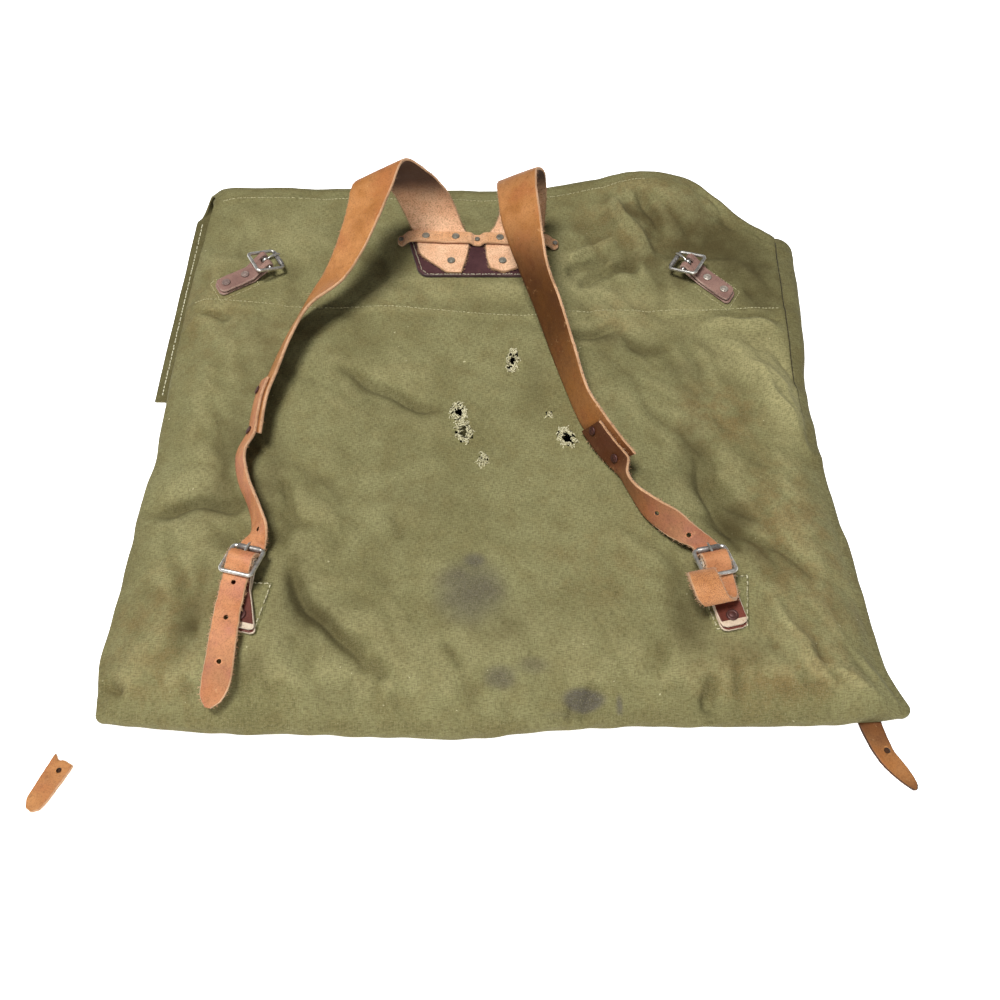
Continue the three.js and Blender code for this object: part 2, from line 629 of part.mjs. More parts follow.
const RIGHT_STRAP_ROWS = [
  { name: 'cut end', low: sewn(0.6, 103.4), high: sewn(4, 103.2) },
  { name: 'bevel', low: sewn(-7, 107), high: sewn(13, 107) },
  { name: 'bevel end', low: sewn(-9, 113), high: sewn(22, 113) },
  { name: 'below band', low: sewn(-11, 130), high: sewn(28, 130) },
  { name: 'under band', low: sewn(-9, 140), high: sewn(31, 140) },
  { name: 'above band', low: sewn(-7, 147), high: sewn(33, 146) },
  { name: 'turn up', low: at(-4, 150.5, TURN_UP_Z), high: at(34, 149.5, TURN_UP_Z) },
  { name: 'rise', low: at(0, 155, 54), high: at(35, 153, 56) },
  { name: 'loop back', low: at(1, 157, 72), high: at(34.5, 155, 80) },
  { name: 'loop top', low: at(-0.5, 151, 84), high: at(32, 147, 98) },
  { name: 'apex', low: at(-2, 143, 88), high: at(26.5, 136, 108) },
  { name: 'fall 1', low: at(-1, 130, 87), high: at(26, 118, 107) },
  { name: 'fall 2', low: at(1, 116, 80), high: at(28, 98, 103) },
  { name: 'fall 3', low: at(6, 100, 73), high: at(30, 78, 97) },
  { name: 'fall 4', low: at(14, 83, 62), high: at(33, 61, 88) },
  { name: 'fall 5', low: at(25, 59, 48), high: at(42, 40, 74) },
  { name: 'edge down 1', low: rest(38, 24), high: at(51, 8, 63) },
  { name: 'edge down 2', low: rest(48, -12), high: at(59, -26, 58) },
  { name: 'edge down 3', low: rest(55, -35), high: at(67, -43, 57) },
  { name: 'splice', low: rest(65, -57), high: at(79, -63, 54) },
  { name: 'lower end', low: rest(74, -71), high: at(88, -77, 53) },
];
const STRAP_STEPS = 3;

// Tails below the splices. Rows in the buckle's own frame give the distance along the tab and the
// height above the cloth; b is the middle of the strap across and half its half width.
const SPLICE = { stations: 6, share: 0.82, clear: 0.6 };
const LEFT_TAIL_RUN = [
  { name: 'below splice', low: rest(-176, -62), high: at(-166, -72, 50) },
  { name: 'bow', low: rest(-172, -84), high: at(-161, -93, 51) },
  { name: 'turn in', low: rest(-162, -106), high: at(-151, -115, 50) },
  { name: 'twist', low: rest(-158, -124), high: at(-145, -130, 48) },
];
const RIGHT_TAIL_RUN = [
  { name: 'below splice', low: rest(79, -80), high: at(82, -89, 50) },
  { name: 'bow', low: rest(85, -94), high: at(86, -100, 52) },
  { name: 'turn out', low: rest(93, -112), high: at(97, -110, 52) },
  { name: 'twist', low: at(103.5, -125.5, 34.8), high: at(112, -117, 47) },
  { name: 'lay down', low: at(112, -133.5, 36.6), high: at(123, -126.5, 43.5) },
];
const THREAD_ROWS = [
  { a: -15.5, b: 0, half: 8, z: 4.4 },
  { a: -11, b: 0, half: 8, z: 5.1 },
  { a: -8.2, b: 0, half: 8, z: 6.1 },
  { a: -6.7, b: 0, half: 8, z: 8.8 },
  { a: -5.3, b: 0, half: 8, z: 12.2 },
  { a: -3.4, b: 0, half: 8, z: 14.7 },
  { a: -1, b: 0, half: 8, z: 15.8 },
  { a: 1.4, b: 0, half: 8, z: 15.7 },
  { a: 4.2, b: 0, half: 8, z: 14.4 },
  { a: 7.4, b: 0, half: 8, z: 12.4 },
  { a: 11, b: 0, half: 8, z: 10.4 },
];
const LEFT_END_ROWS = [
  { a: 17, b: 0.6, half: 8, z: 8.8 },
  { a: 26, b: 2, half: 8, z: 8 },
  { a: 38, b: 4.5, half: 8.2, z: 7.8 },
  { a: 50, b: 7, half: 8.5, z: 6.4 },
  { a: 62, b: 9.2, half: 8.7, z: 2.6 },
  { a: 75, b: 10.4, half: 8.6, z: -2.6 },
  { a: 83, b: 10, half: 6.5, z: -6.4 },
  { a: 88, b: 9.5, half: 1.8, z: -9 },
];
const CURL_ROWS = [
  { a: 16, b: -0.2, half: 8, z: 8.2 },
  { a: 20.4, b: -0.9, half: 8.3, z: 7.8 },
  { a: 25.6, b: -3.3, half: 9, z: 9.5 },
  { a: 29, b: -7.3, half: 9.4, z: 13.5 },
  { a: 28.8, b: -11.2, half: 9.2, z: 18 },
  { a: 26.1, b: -13.4, half: 9, z: 21.5 },
  { a: 22.4, b: -14.4, half: 8.9, z: 24 },
  { a: 17.9, b: -14.8, half: 8.8, z: 25 },
  { a: 13.7, b: -15, half: 8.5, z: 24.3 },
  { a: 10.6, b: -15.4, half: 8.3, z: 21.8 },
  { a: 9.9, b: -16, half: 8.2, z: 18.6 },
  { a: 12.4, b: -16.8, half: 8.2, z: 16 },
  { a: 16.4, b: -17.6, half: 8.2, z: 14.6 },
  { a: 20.6, b: -18.2, half: 8, z: 15.6 },
];
const TAIL_STEPS = 2;
const HOLE_RADIUS = 1.5;
const PUNCH_REACH = 4;
const LEFT_HOLE_ROWS = [9, 20.7, 23, 25.1];
const RIGHT_HOLE_ROWS = [8.4, 10.1];
const SPLICE_RIVETS = {
  left: { rows: [1.5, 5], across: 0.28 },
  right: { rows: [0.5, 4.5], across: 0.5 },
};
const STRAP_RIVET_RADIUS = 3;

// Each buckle works in its own frame: a along the tab, b across, z above the cloth
function buckleFrame(buckle) {
  const turn = new THREE.Matrix4().makeRotationZ(degToRad(buckle.heading));
  return new THREE.Matrix4().makeTranslation(buckle.x, buckle.y, buckle.floor).multiply(turn);
}

function barFrame(buckle) {
  const lift = new THREE.Matrix4().makeTranslation(0, 0, buckle.bar);
  const tip = new THREE.Matrix4().makeRotationY(-degToRad(buckle.tilt));
  return buckleFrame(buckle).multiply(lift).multiply(tip);
}

function tailRows(buckle, rows) {
  const frame = buckleFrame(buckle);
  return rows.map((r) => ({
    low: at(r.a, r.b - r.half, r.z).applyMatrix4(frame),
    high: at(r.a, r.b + r.half, r.z).applyMatrix4(frame),
  }));
}

function roundedLoop(halfA, halfB) {
  const path = [];
  const corner = BUCKLE_CORNER.radius;
  const corners = [[1, 1], [-1, 1], [-1, -1], [1, -1]];
  corners.forEach(([signA, signB], quarter) => {
    for (let k = 0; k <= BUCKLE_CORNER.steps; k += 1) {
      const angle = (Math.PI / 2) * (quarter + k / BUCKLE_CORNER.steps);
      path.push(at(
        signA * (halfA - corner) + corner * Math.cos(angle),
        signB * (halfB - corner) + corner * Math.sin(angle),
        0,
      ));
    }
  });
  return path;
}

function buckleSolid(buckle) {
  const halfB = buckle.width / 2 - buckle.wire;
  const rim = barSolid(roundedLoop(buckle.reach, halfB), buckle.wire, UP, true);
  const bar = barSolid([at(0, -halfB, 0), at(0, halfB, 0)], buckle.wire, UP, false);
  return joined([rim, bar]).applyMatrix4(barFrame(buckle));
}

function acrossTube(inner, outer, half) {
  const tube = turnedSolid([
    { r: inner, z: -half }, { r: outer, z: -half }, { r: outer, z: half }, { r: inner, z: half },
  ], true);
  return tube.rotateX(Math.PI / 2);
}

function rollerSolid(buckle) {
  const half = buckle.width / 2 - 2 * buckle.wire - ROLLER_END_ROOM;
  const tube = acrossTube(buckle.wire + GAP, buckle.roller, half);
  return tube.translate(-buckle.reach, 0, 0).applyMatrix4(barFrame(buckle));
}

function prongPath(buckle) {
  const over = buckle.roller + GAP + PRONG.wire;
  const root = PRONG.root * (buckle.wire + PRONG_RING.inner + PRONG_RING.wall / 2);
  return [
    at(-root, 0, root),
    at(-PRONG.kneeBack, 0, over * PRONG.kneeHigh),
    at(-buckle.reach, 0, over),
    at(-buckle.reach - PRONG.past, 0, over - PRONG.dip),
  ];
}

function prongSolid(buckle) {
  const inner = buckle.wire + PRONG_RING.inner;
  const ring = acrossTube(inner, inner + PRONG_RING.wall, PRONG_RING.width / 2);
  const shaft = barSolid(prongPath(buckle), PRONG.wire, ACROSS, false);
  shaft.rotateZ(degToRad(buckle.skew));
  return joined([ring, shaft]).applyMatrix4(barFrame(buckle));
}

// A tab is folded round the centre bar, so its side view is a hairpin
function tabPath(buckle) {
  const lower = TAB / 2;
  const upper = lower + TAB + TAB_LAYERS;
  const loop = buckle.wire + GAP + TAB / 2;
  const tangent = (z, sign) => {
    const fall = Math.atan2(z - buckle.bar, buckle.tabLand);
    const far = Math.hypot(z - buckle.bar, buckle.tabLand);
    return fall + sign * Math.acos(loop / far);
  };
  const start = tangent(upper, 1);
  const finish = tangent(lower, -1) + 2 * Math.PI;
  const path = [{ a: buckle.tabLength, z: upper }, { a: buckle.tabLand + TAB_FOLD.run, z: upper }];
  path.push({ a: buckle.tabLand, z: upper + TAB_FOLD.lift });
  for (let k = 0; k <= TAB_FOLD.turns; k += 1) {
    const angle = lerp(start, finish, k / TAB_FOLD.turns);
    path.push({ a: loop * Math.cos(angle), z: buckle.bar + loop * Math.sin(angle) });
  }
  path.push({ a: buckle.tabLand, z: lower });
  path.push({ a: buckle.tabLand + TAB_FOLD.run, z: lower });
  path.push({ a: buckle.tabLength + TAB_FOLD.longer, z: lower });
  return path;
}

function tabSolid(buckle) {
  const half = buckle.tabWidth / 2;
  const path = tabPath(buckle);
  const stations = path.map((p, k) => {
    const before = path[Math.max(k - 1, 0)];
    const after = path[Math.min(k + 1, path.length - 1)];
    const run = at(after.a - before.a, 0, after.z - before.z).normalize();
    const slide = buckle.tabShear * Math.max(p.a - TAB_STRAIGHT, 0);
    return {
      low: at(p.a, slide - half, p.z),
      high: at(p.a, slide + half, p.z),
      grain: run.cross(ACROSS).normalize(),
    };
  });
  const slotOutline = [
    { x: -TAB_SLOT.front, y: -TAB_SLOT.half }, { x: TAB_SLOT.back, y: -TAB_SLOT.half },
    { x: TAB_SLOT.back, y: TAB_SLOT.half }, { x: -TAB_SLOT.front, y: TAB_SLOT.half },
  ];
  const slotCutter = plateSolid(slotOutline, buckle.bar - TAB_SLOT.depth, TAB_SLOT.depth * 2);
  return cutAway(ribbonSolid(stations, TAB), [slotCutter]).applyMatrix4(buckleFrame(buckle));
}

// Punched holes and rivets stand square to the ribbon they belong to
function punch(station, radius) {
  const middle = station.low.clone().add(station.high).multiplyScalar(0.5);
  const reach = station.grain.clone().multiplyScalar(PUNCH_REACH);
  const ends = [middle.clone().sub(reach), middle.clone().add(reach)];
  return barSolid(ends, radius, station.run, false);
}

const RIVET_HEAD = [
  { share: 1, z: 0 }, { share: 0.96, z: 0.6 }, { share: 0.7, z: 1.05 }, { share: 0.3, z: 1.25 },
];

function rivetSolid(radius, foot, up) {
  const head = turnedSolid(RIVET_HEAD.map((row) => ({ r: radius * row.share, z: row.z })), false);
  const turn = new THREE.Quaternion().setFromUnitVectors(UP, up);
  return head.applyQuaternion(turn).translate(foot.x, foot.y, foot.z);
}

function prongCutter(buckle) {
  const cutter = barSolid(prongPath(buckle).slice(0, 3), PRONG.wire + PRONG.room, ACROSS, false);
  return cutter.applyMatrix4(barFrame(buckle));
}

function spliceRows(strap) {
  const away = STRAP / 2 + SPLICE.clear + TAIL / 2;
  return strap.slice(-SPLICE.stations).map((s) => ({
    low: s.low.clone().addScaledVector(s.grain, away),
    high: s.low.clone().lerp(s.high, SPLICE.share).addScaledVector(s.grain, away),
  }));
}

// Materials
const cloth = new THREE.MeshStandardMaterial({ color: 0x6f6a43, roughness: 0.95, metalness: 0 });
const tan = new THREE.MeshStandardMaterial({ color: 0xb0703f, roughness: 0.75, metalness: 0 });
const darkLeather = new THREE.MeshStandardMaterial({ color: 0x5a3a38, roughness: 0.7, metalness: 0 });
const steel = new THREE.MeshStandardMaterial({ color: 0x9a978f, roughness: 0.45, metalness: 0.9 });
const rivetSteel = new THREE.MeshStandardMaterial({ color: 0x6e6a60, roughness: 0.55, metalness: 0.8 });

const bag = new THREE.Group();
function addPart(name, geometry, material) {
  geometry.deleteAttribute('normal');
  geometry.deleteAttribute('uv');
  geometry.computeVertexNormals();
  const mesh = new THREE.Mesh(geometry, material);
  mesh.name = name;
  bag.add(mesh);
}

// Canvas
addPart('back_panel', backPanel(), cloth);
addPart('front_panel', frontPanel(), cloth);
addPart('gusset_left', sideGusset(LEFT_EDGE, 1), cloth);
addPart('gusset_right', sideGusset(RIGHT_EDGE, -1), cloth);
addPart('gusset_bottom', bottomGusset(), cloth);
addPart('flap', flapSheet(), cloth);
Object.entries(PATCHES).forEach(([name, outline]) => {
  addPart(name, plateSolid(outline, PADS.lowerLeft.z + GAP, PATCH_CLOTH), cloth);
});

// Yoke
addPart('yoke_patch', plateSolid(YOKE_OUTLINE, PADS.yoke.z + GAP, YOKE), darkLeather);
const bandStations = BAND_ROWS.map((row, k) => {
  const before = BAND_ROWS[Math.max(k - 1, 0)];
  const after = BAND_ROWS[Math.min(k + 1, BAND_ROWS.length - 1)];
  const y = BAND_Y + BAND_TILT * (row.x - BAND_CENTRE_X);
  const grain = at(before.z - after.z, 0, after.x - before.x).normalize();
  const z = row.z + BAND / 2;
  return { low: at(row.x, y + BAND_WIDTH / 2, z), high: at(row.x, y - BAND_WIDTH / 2, z), grain };
});
addPart('yoke_band', ribbonSolid(bandStations, BAND), tan);

// Shoulder straps and their tails
const leftStrap = ribbonStations(LEFT_STRAP_ROWS, STRAP_STEPS);
const rightStrap = ribbonStations(RIGHT_STRAP_ROWS, STRAP_STEPS);
addPart('shoulder_strap_left', ribbonSolid(leftStrap, STRAP), tan);
addPart('shoulder_strap_right', ribbonSolid(rightStrap, STRAP), tan);
const leftTail = ribbonStations([
  ...spliceRows(leftStrap), ...LEFT_TAIL_RUN,
  ...tailRows(BUCKLES.lowerLeft, THREAD_ROWS), ...tailRows(BUCKLES.lowerLeft, LEFT_END_ROWS),
], TAIL_STEPS);
const rightTail = ribbonStations([
  ...spliceRows(rightStrap), ...RIGHT_TAIL_RUN,
  ...tailRows(BUCKLES.lowerRight, THREAD_ROWS), ...tailRows(BUCKLES.lowerRight, CURL_ROWS),
], TAIL_STEPS);
const stationAt = (stations, row) => stations[Math.round(row * TAIL_STEPS)];
function tailSolid(stations, holeRows, buckle) {
  const punches = holeRows.map((row) => punch(stationAt(stations, row), HOLE_RADIUS));
  return cutAway(ribbonSolid(stations, TAIL), [...punches, prongCutter(buckle)]);
}
addPart('strap_tail_left', tailSolid(leftTail, LEFT_HOLE_ROWS, BUCKLES.lowerLeft), tan);
addPart('strap_tail_right', tailSolid(rightTail, RIGHT_HOLE_ROWS, BUCKLES.lowerRight), tan);

// Tabs and buckles
Object.values(BUCKLES).forEach((buckle) => {
  addPart(`tab_${buckle.name}`, tabSolid(buckle), darkLeather);
  addPart(`buckle_frame_${buckle.name}`, buckleSolid(buckle), steel);
  addPart(`buckle_roller_${buckle.name}`, rollerSolid(buckle), steel);
  addPart(`buckle_prong_${buckle.name}`, prongSolid(buckle), steel);
});

// Loose ends
const closingStations = ribbonStations(CLOSING_ROWS.map((r) => ({
  low: at(r.left, r.y, TAIL / 2), high: at(r.right, r.y, TAIL / 2),
})), TAIL_STEPS);
function groundPunch(hole) {
  const ends = [at(hole.x, hole.y, -PUNCH_REACH), at(hole.x, hole.y, TAIL + PUNCH_REACH)];
  return barSolid(ends, hole.radius, ACROSS, false);
}
const closingStrap = cutAway(ribbonSolid(closingStations, TAIL), [groundPunch(CLOSING_HOLE)]);
addPart('closing_strap_right', closingStrap, tan);
const tornTip = cutAway(plateSolid(TORN_OUTLINE, 0, TAIL), [groundPunch(TORN_HOLE)]);
addPart('torn_strap_tip', tornTip, tan);

// Rivets
BAND_RIVETS.forEach((rivet, k) => {
  const y = BAND_Y + BAND_TILT * (rivet.x - BAND_CENTRE_X);
  const radius = rivet.foot === BAND_HIGH ? BAND_RIVET_RADIUS.high : BAND_RIVET_RADIUS.low;
  const foot = at(rivet.x, y, rivet.foot + BAND + GAP);
  addPart(`rivet_band_${k + 1}`, rivetSolid(radius, foot, UP), rivetSteel);
});
Object.entries(END_RIVETS).forEach(([side, spot]) => {
  const foot = at(spot.x, spot.y, STRAP_END_Z + STRAP / 2 + GAP);
  addPart(`rivet_strap_end_${side}`, rivetSolid(STRAP_RIVET_RADIUS, foot, UP), rivetSteel);
});
Object.entries({ left: leftTail, right: rightTail }).forEach(([side, tail]) => {
  SPLICE_RIVETS[side].rows.forEach((row, k) => {
    const station = stationAt(tail, row);
    const spot = station.low.clone().lerp(station.high, SPLICE_RIVETS[side].across);
    const foot = spot.addScaledVector(station.grain, TAIL / 2 + GAP * 2);
    const head = rivetSolid(STRAP_RIVET_RADIUS, foot, station.grain);
    addPart(`rivet_splice_${side}_${k + 1}`, head, rivetSteel);
  });
});
Object.values(BUCKLES).forEach((buckle) => {
  const top = TAB * 2 + TAB_LAYERS + GAP;
  buckle.rivets.forEach((a, k) => {
    const slide = buckle.tabShear * Math.max(a - TAB_STRAIGHT, 0);
    const foot = at(a, slide, top).applyMatrix4(buckleFrame(buckle));
    const head = rivetSolid(buckle.rivetRadius, foot, UP);
    addPart(`rivet_tab_${buckle.name}_${k + 1}`, head, rivetSteel);
  });
});

// The origin is on the ground under the middle of the whole object
const middle = new THREE.Box3().setFromObject(bag, true).getCenter(at(0, 0, 0));
bag.position.set(-middle.x, -middle.y, 0);
const part = new THREE.Group();
part.add(bag);

export default part;
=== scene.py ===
# Looks of the canvas rucksack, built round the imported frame. Tables are in millimetres in the bag's own
# layout: +X right, +Y from the bottom of the bag to its top, +Z up from the ground it lies on.
import math

import bmesh
import bpy
import numpy as np
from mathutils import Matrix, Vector, noise


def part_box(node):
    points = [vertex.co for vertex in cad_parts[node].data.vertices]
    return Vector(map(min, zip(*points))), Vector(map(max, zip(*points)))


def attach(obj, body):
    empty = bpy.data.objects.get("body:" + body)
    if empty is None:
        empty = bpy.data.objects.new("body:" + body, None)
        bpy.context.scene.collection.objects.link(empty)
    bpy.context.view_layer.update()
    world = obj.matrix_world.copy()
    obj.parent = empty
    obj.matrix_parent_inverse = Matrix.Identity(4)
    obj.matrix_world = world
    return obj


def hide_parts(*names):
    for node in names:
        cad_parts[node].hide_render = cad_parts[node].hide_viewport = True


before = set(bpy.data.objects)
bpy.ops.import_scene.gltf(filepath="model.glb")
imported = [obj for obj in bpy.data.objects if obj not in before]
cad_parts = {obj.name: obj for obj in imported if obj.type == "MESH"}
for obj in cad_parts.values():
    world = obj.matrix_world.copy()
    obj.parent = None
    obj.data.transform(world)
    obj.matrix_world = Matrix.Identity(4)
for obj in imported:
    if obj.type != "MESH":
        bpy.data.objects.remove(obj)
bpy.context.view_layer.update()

MM = 0.001
YOKE_CORNER = (-71.0, 101.0)
yoke_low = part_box("yoke_patch")[0] / MM
SHIFT = np.array([yoke_low.x - YOKE_CORNER[0], yoke_low.y - YOKE_CORNER[1], 0.0])
rng = np.random.default_rng(7)
UP = np.array([0.0, 0.0, 1.0])


def table(columns, *rows):
    """Rows of numbers under named columns."""
    return dict(zip(columns.split(), np.array(rows, float).T))


def spot_table(*rows):
    return table("x y reach_x reach_y amount", *rows)


# Thicknesses
GAP = 0.3
CANVAS = 1.5
PATCH_CLOTH = 1.2
STRAP = 2.2
TAIL = 2.0
TAB = 1.8
BAND = 2.0
YOKE = 2.0

# Shine of cloth and leather, and of metal
SHINE = {"soft": 0.22, "metal": 0.5}

# Outline of the back panel: the seam, the outermost bulge below it and the height of the seam
LEFT_EDGE = table(
    "y x out rim",
    (-235, -237, -242, 10), (-207, -240, -246, 14), (-183, -239, -244, 16), (-140, -237, -242, 18),
    (-94, -237, -242, 18), (-61, -235, -239, 18), (-8, -237, -239.5, 19), (60, -238, -239.5, 21),
    (130, -236, -237.5, 24), (205, -231, -233, 28),
)
RIGHT_EDGE = table(
    "y x out rim",
    (-232, 240, 246, 10), (-208, 228, 235, 14), (-184, 226, 233, 16), (-141, 222, 230, 18),
    (-95, 217, 225, 20), (-45, 211, 221, 24), (-9, 210, 219, 27), (53, 212, 227, 29),
    (94, 213, 230, 30), (148, 216, 233, 33),
)
BOTTOM_EDGE = table(
    "x y out",
    (-239, -236, -241), (-177, -242, -247), (-118, -243, -248), (-59, -245, -250), (-24, -246, -251),
    (24, -242, -246), (83, -239, -243), (154, -239, -243), (214, -237, -241), (241, -233, -238),
)
TOP_EDGE = table(
    "x y rim",
    (-232, 199, 27), (-223, 206, 29), (-196, 207.5, 30), (-130, 203, 32), (-33, 200.5, 34), (20, 200, 35),
    (50, 204, 40), (96, 209, 47), (129, 209, 48), (159, 198, 46), (187, 172, 42), (205, 157, 37),
    (216, 148, 33),
)

# Height of the bag: its level, the swellings on it and how far in from each edge the level is reached
BOTTOM_RIM = 12
LOWEST_RIM = 8
LOWEST_CLOTH = 5
RISE_IN = {"left": 50, "right": 34, "bottom": 70, "top": 22}
LEVEL = 31
SWELLS = spot_table((-17, 130, 110, 70, 5), (125, 195, 60, 45, 15))

# Broad folds of the frame's back panel: a line, its half width and its rise, valleys negative
FOLDS = (
    ("to the moth holes", [(-111, 13), (-37, -25)], 14, -4),
    ("right valley", [(128, -61), (152, -135)], 14, -6),
    ("right ridge", [(171, 39), (212, -60)], 12, 5),
    ("below right tab", [(150, 60), (206, 52)], 12, 4),
    ("left crease", [(-235, -97), (-171, -102)], 9, -5),
    ("from left buckle", [(-130, -160), (-80, -214)], 12, -4),
    ("lower right ridge", [(170, -200), (228, -236)], 13, 6),
    ("corner ridge", [(86, 180), (114, 130)], 12, 5),
    ("corner valley", [(106, 194), (128, 150)], 9, -5),
    ("beside the strap", [(60, 96), (86, 121)], 8, -5),
    ("above right tab", [(86, 121), (110, 118)], 8, -5),
    ("hem pucker right", [(126, -240), (122, -216)], 7, -4),
    ("hem pucker middle", [(50, -242), (53, -222)], 7, -4),
)

# Finer creases of the worn cloth
CREASES = (
    ("sharp start to the moth holes", [(-113, 15), (-74, -7), (-48, -20)], 5, -1.6),
    ("under the seam at the left", [(-226, 74), (-204, 64)], 5, -2.6),
    ("left of the splice", [(-203, -8), (-190, -42), (-183, -80)], 10, -2.2),
    ("left side", [(-226, -101), (-173, -96)], 7, -1.6),
    ("right of the left tail", [(-146, -79), (-136, -102), (-134, -132)], 8, -2.4),
    ("from the left buckle", [(-136, -143), (-117, -176), (-95, -198), (-83, -212)], 6, -2.6),
    ("ridge beside it", [(-122, -150), (-100, -178), (-80, -194)], 7, 1.6),
    ("second from the buckle", [(-77, -206), (-67, -222)], 5, -1.8),
    ("by the grey stain", [(-37, -198), (-22, -214)], 5, -1.4),
    ("left of the strap end", [(-188, -185), (-180, -204)], 6, -1.8),
    ("left hem", [(-158, -236), (-124, -237)], 4, -1.4),
    ("middle", [(-76, -107), (-60, -130)], 7, -0.9),
    ("beside the strap", [(44, 104), (60, 112), (85, 130)], 5, -3.2),
    ("above it", [(50, 120), (70, 133), (92, 150)], 6, 2.4),
    ("corner ridge", [(88, 183), (104, 155), (120, 130)], 6, 2.8),
    ("corner valley", [(110, 152), (126, 134)], 6, -1.6),
    ("dark side of the corner ridge", [(118, 196), (138, 165), (152, 138)], 16, -3.5),
    ("top right valley", [(150, 196), (168, 181), (186, 160)], 7, -2.2),
    ("under the seam at the right", [(160, 66), (186, 62), (209, 64)], 3.5, -2.2),
    ("ridge under it", [(158, 57), (204, 53)], 4, 1.2),
    ("wedge right of the strap", [(52, 48), (70, 50), (88, 58)], 7, -4.2),
    ("right of the wedge", [(92, 40), (121, 31)], 7, -1.6),
    ("small right crease", [(176, 43), (190, 31)], 4, -1.6),
    ("right ridge", [(175, 21), (202, -4), (212, -58)], 5, 1.8),
    ("right edge valley", [(203, 30), (208, -6)], 5, -1.6),
    ("long right valley", [(124, -36), (142, -72), (147, -94), (168, -117)], 8, -2.2),
    ("low right valley", [(160, -126), (180, -134), (193, -155)], 6, -2.4),
    ("pale ridge", [(170, -168), (177, -199), (193, -219), (204, -232)], 4.5, 2.0),
    ("dark side of the ridge", [(184, -200), (203, -226)], 5, -2.2),
    ("below the right tab", [(138, -208), (144, -228)], 5, -1.8),
    ("right corner", [(214, -200), (230, -222)], 5, 1.0),
    ("right corner dent", [(205, -196), (218, -216)], 5, -1.0),
    ("right hem pucker", [(121, -238), (119, -226)], 3.5, -3.6),
    ("hem notch", [(44, -242), (46, -230)], 3, -2.0),
    ("hem pinch one", [(-58, -242), (-62, -230)], 4, -1.3),
    ("hem pinch two", [(2, -242), (4, -229)], 4, -1.3),
    ("left corner pinch", [(-238, -222), (-224, -227)], 5, -5.0),
)
CREASE = {
    "waver": 6.0, "size": 26, "sharp": 0.7, "keen": 2.2, "depth": 1.7, "starts": (-0.15, 0.3),
    "ends": (0.7, 1.15),
}
RIPPLES = table("size height", (80, 1.3), (30, 0.7), (11, 0.22))
RUMPLES = table("size height", (70, 4.4), (36, 2.6), (17, 1.1))
RUMPLE = {"warp": 0.4, "steep": 2.2, "sunk": 0.6, "least": 0.22, "way": (0.6, -0.8), "stretch": 0.42}
RUMPLED = spot_table(
    (130, 120, 90, 90, 1.0), (160, 0, 80, 80, 0.9), (180, -140, 90, 90, 0.9), (-150, -170, 90, 90, 0.75),
    (-200, 40, 60, 120, 0.6), (0, -240, 260, 30, 0.5), (-60, 150, 90, 70, 0.3),
)

# Sewn-on leather keeps the canvas flat here
YOKE_PAD_Z = 36
PATCH_PAD_Z = 32
PADS = table(
    "x y half_x half_y z",
    (-17, 124, 64, 24, YOKE_PAD_Z), (-191, 102, 25, 22, 31.6), (155, 97, 25, 24, 32.6),
    (-157, -173, 20, 30, PATCH_PAD_Z), (137, -172, 20, 30, PATCH_PAD_Z),
)
PAD_FADE = 26
CREASE_FADE = 9

# Seams across the back, round the top hem and down the right side
BACK_SEAM = table("x y", (-232, 82), (-201, 80), (-149, 74), (-74, 71), (15, 63), (44, 66), (104, 71),
                  (148, 69), (213, 73))
SEAM_DIRT = {"half": 1.4, "across": 0.7, "side": 0.5, "right_from": (-45, -10), "groove": 1.0}
HEM_IN = 9
SEAM_RIDGE = {"half": 3, "rise": 0.7}

# Moth holes and the stained, rusty or rubbed places
MOTH_HOLES = table(
    "x y half_x half_y turn frays",
    (9, 22, 3.2, 8.4, -10, 52), (-29, -24, 4.4, 6.6, 20, 58), (-25, -42, 4.2, 7.4, 5, 58),
    (45, -47, 4.6, 6.6, 30, 58), (-11, -65, 2.2, 3.4, 0, 24), (34, -27, 1.4, 1.4, 0, 8),
)
HOLE_RAGGED = {"share": 0.35, "size": 2.6}
SOOT = spot_table(
    (-18, -166, 25, 25, 0.75), (-16, -143, 7, 5, 0.45), (0, -219, 11, 8, 0.7), (20, -212, 11, 6, 0.5),
    (50, -230, 13, 6.5, 1.3), (71, -234, 2.4, 7, 0.9), (35, -240, 12, 4, 0.35),
)
RUST = spot_table(
    (120, 165, 70, 50, 0.55), (90, 70, 25, 25, 0.6), (150, -25, 35, 30, 0.7), (190, -150, 40, 60, 0.6),
    (-215, 70, 35, 60, 0.4), (-205, -190, 45, 55, 0.55), (-60, 90, 50, 25, 0.35), (60, -150, 40, 40, 0.3),
    (160, -215, 60, 22, 0.6), (-150, 45, 30, 30, 0.3), (180, -90, 30, 40, 0.4), (70, -20, 25, 25, 0.25),
)

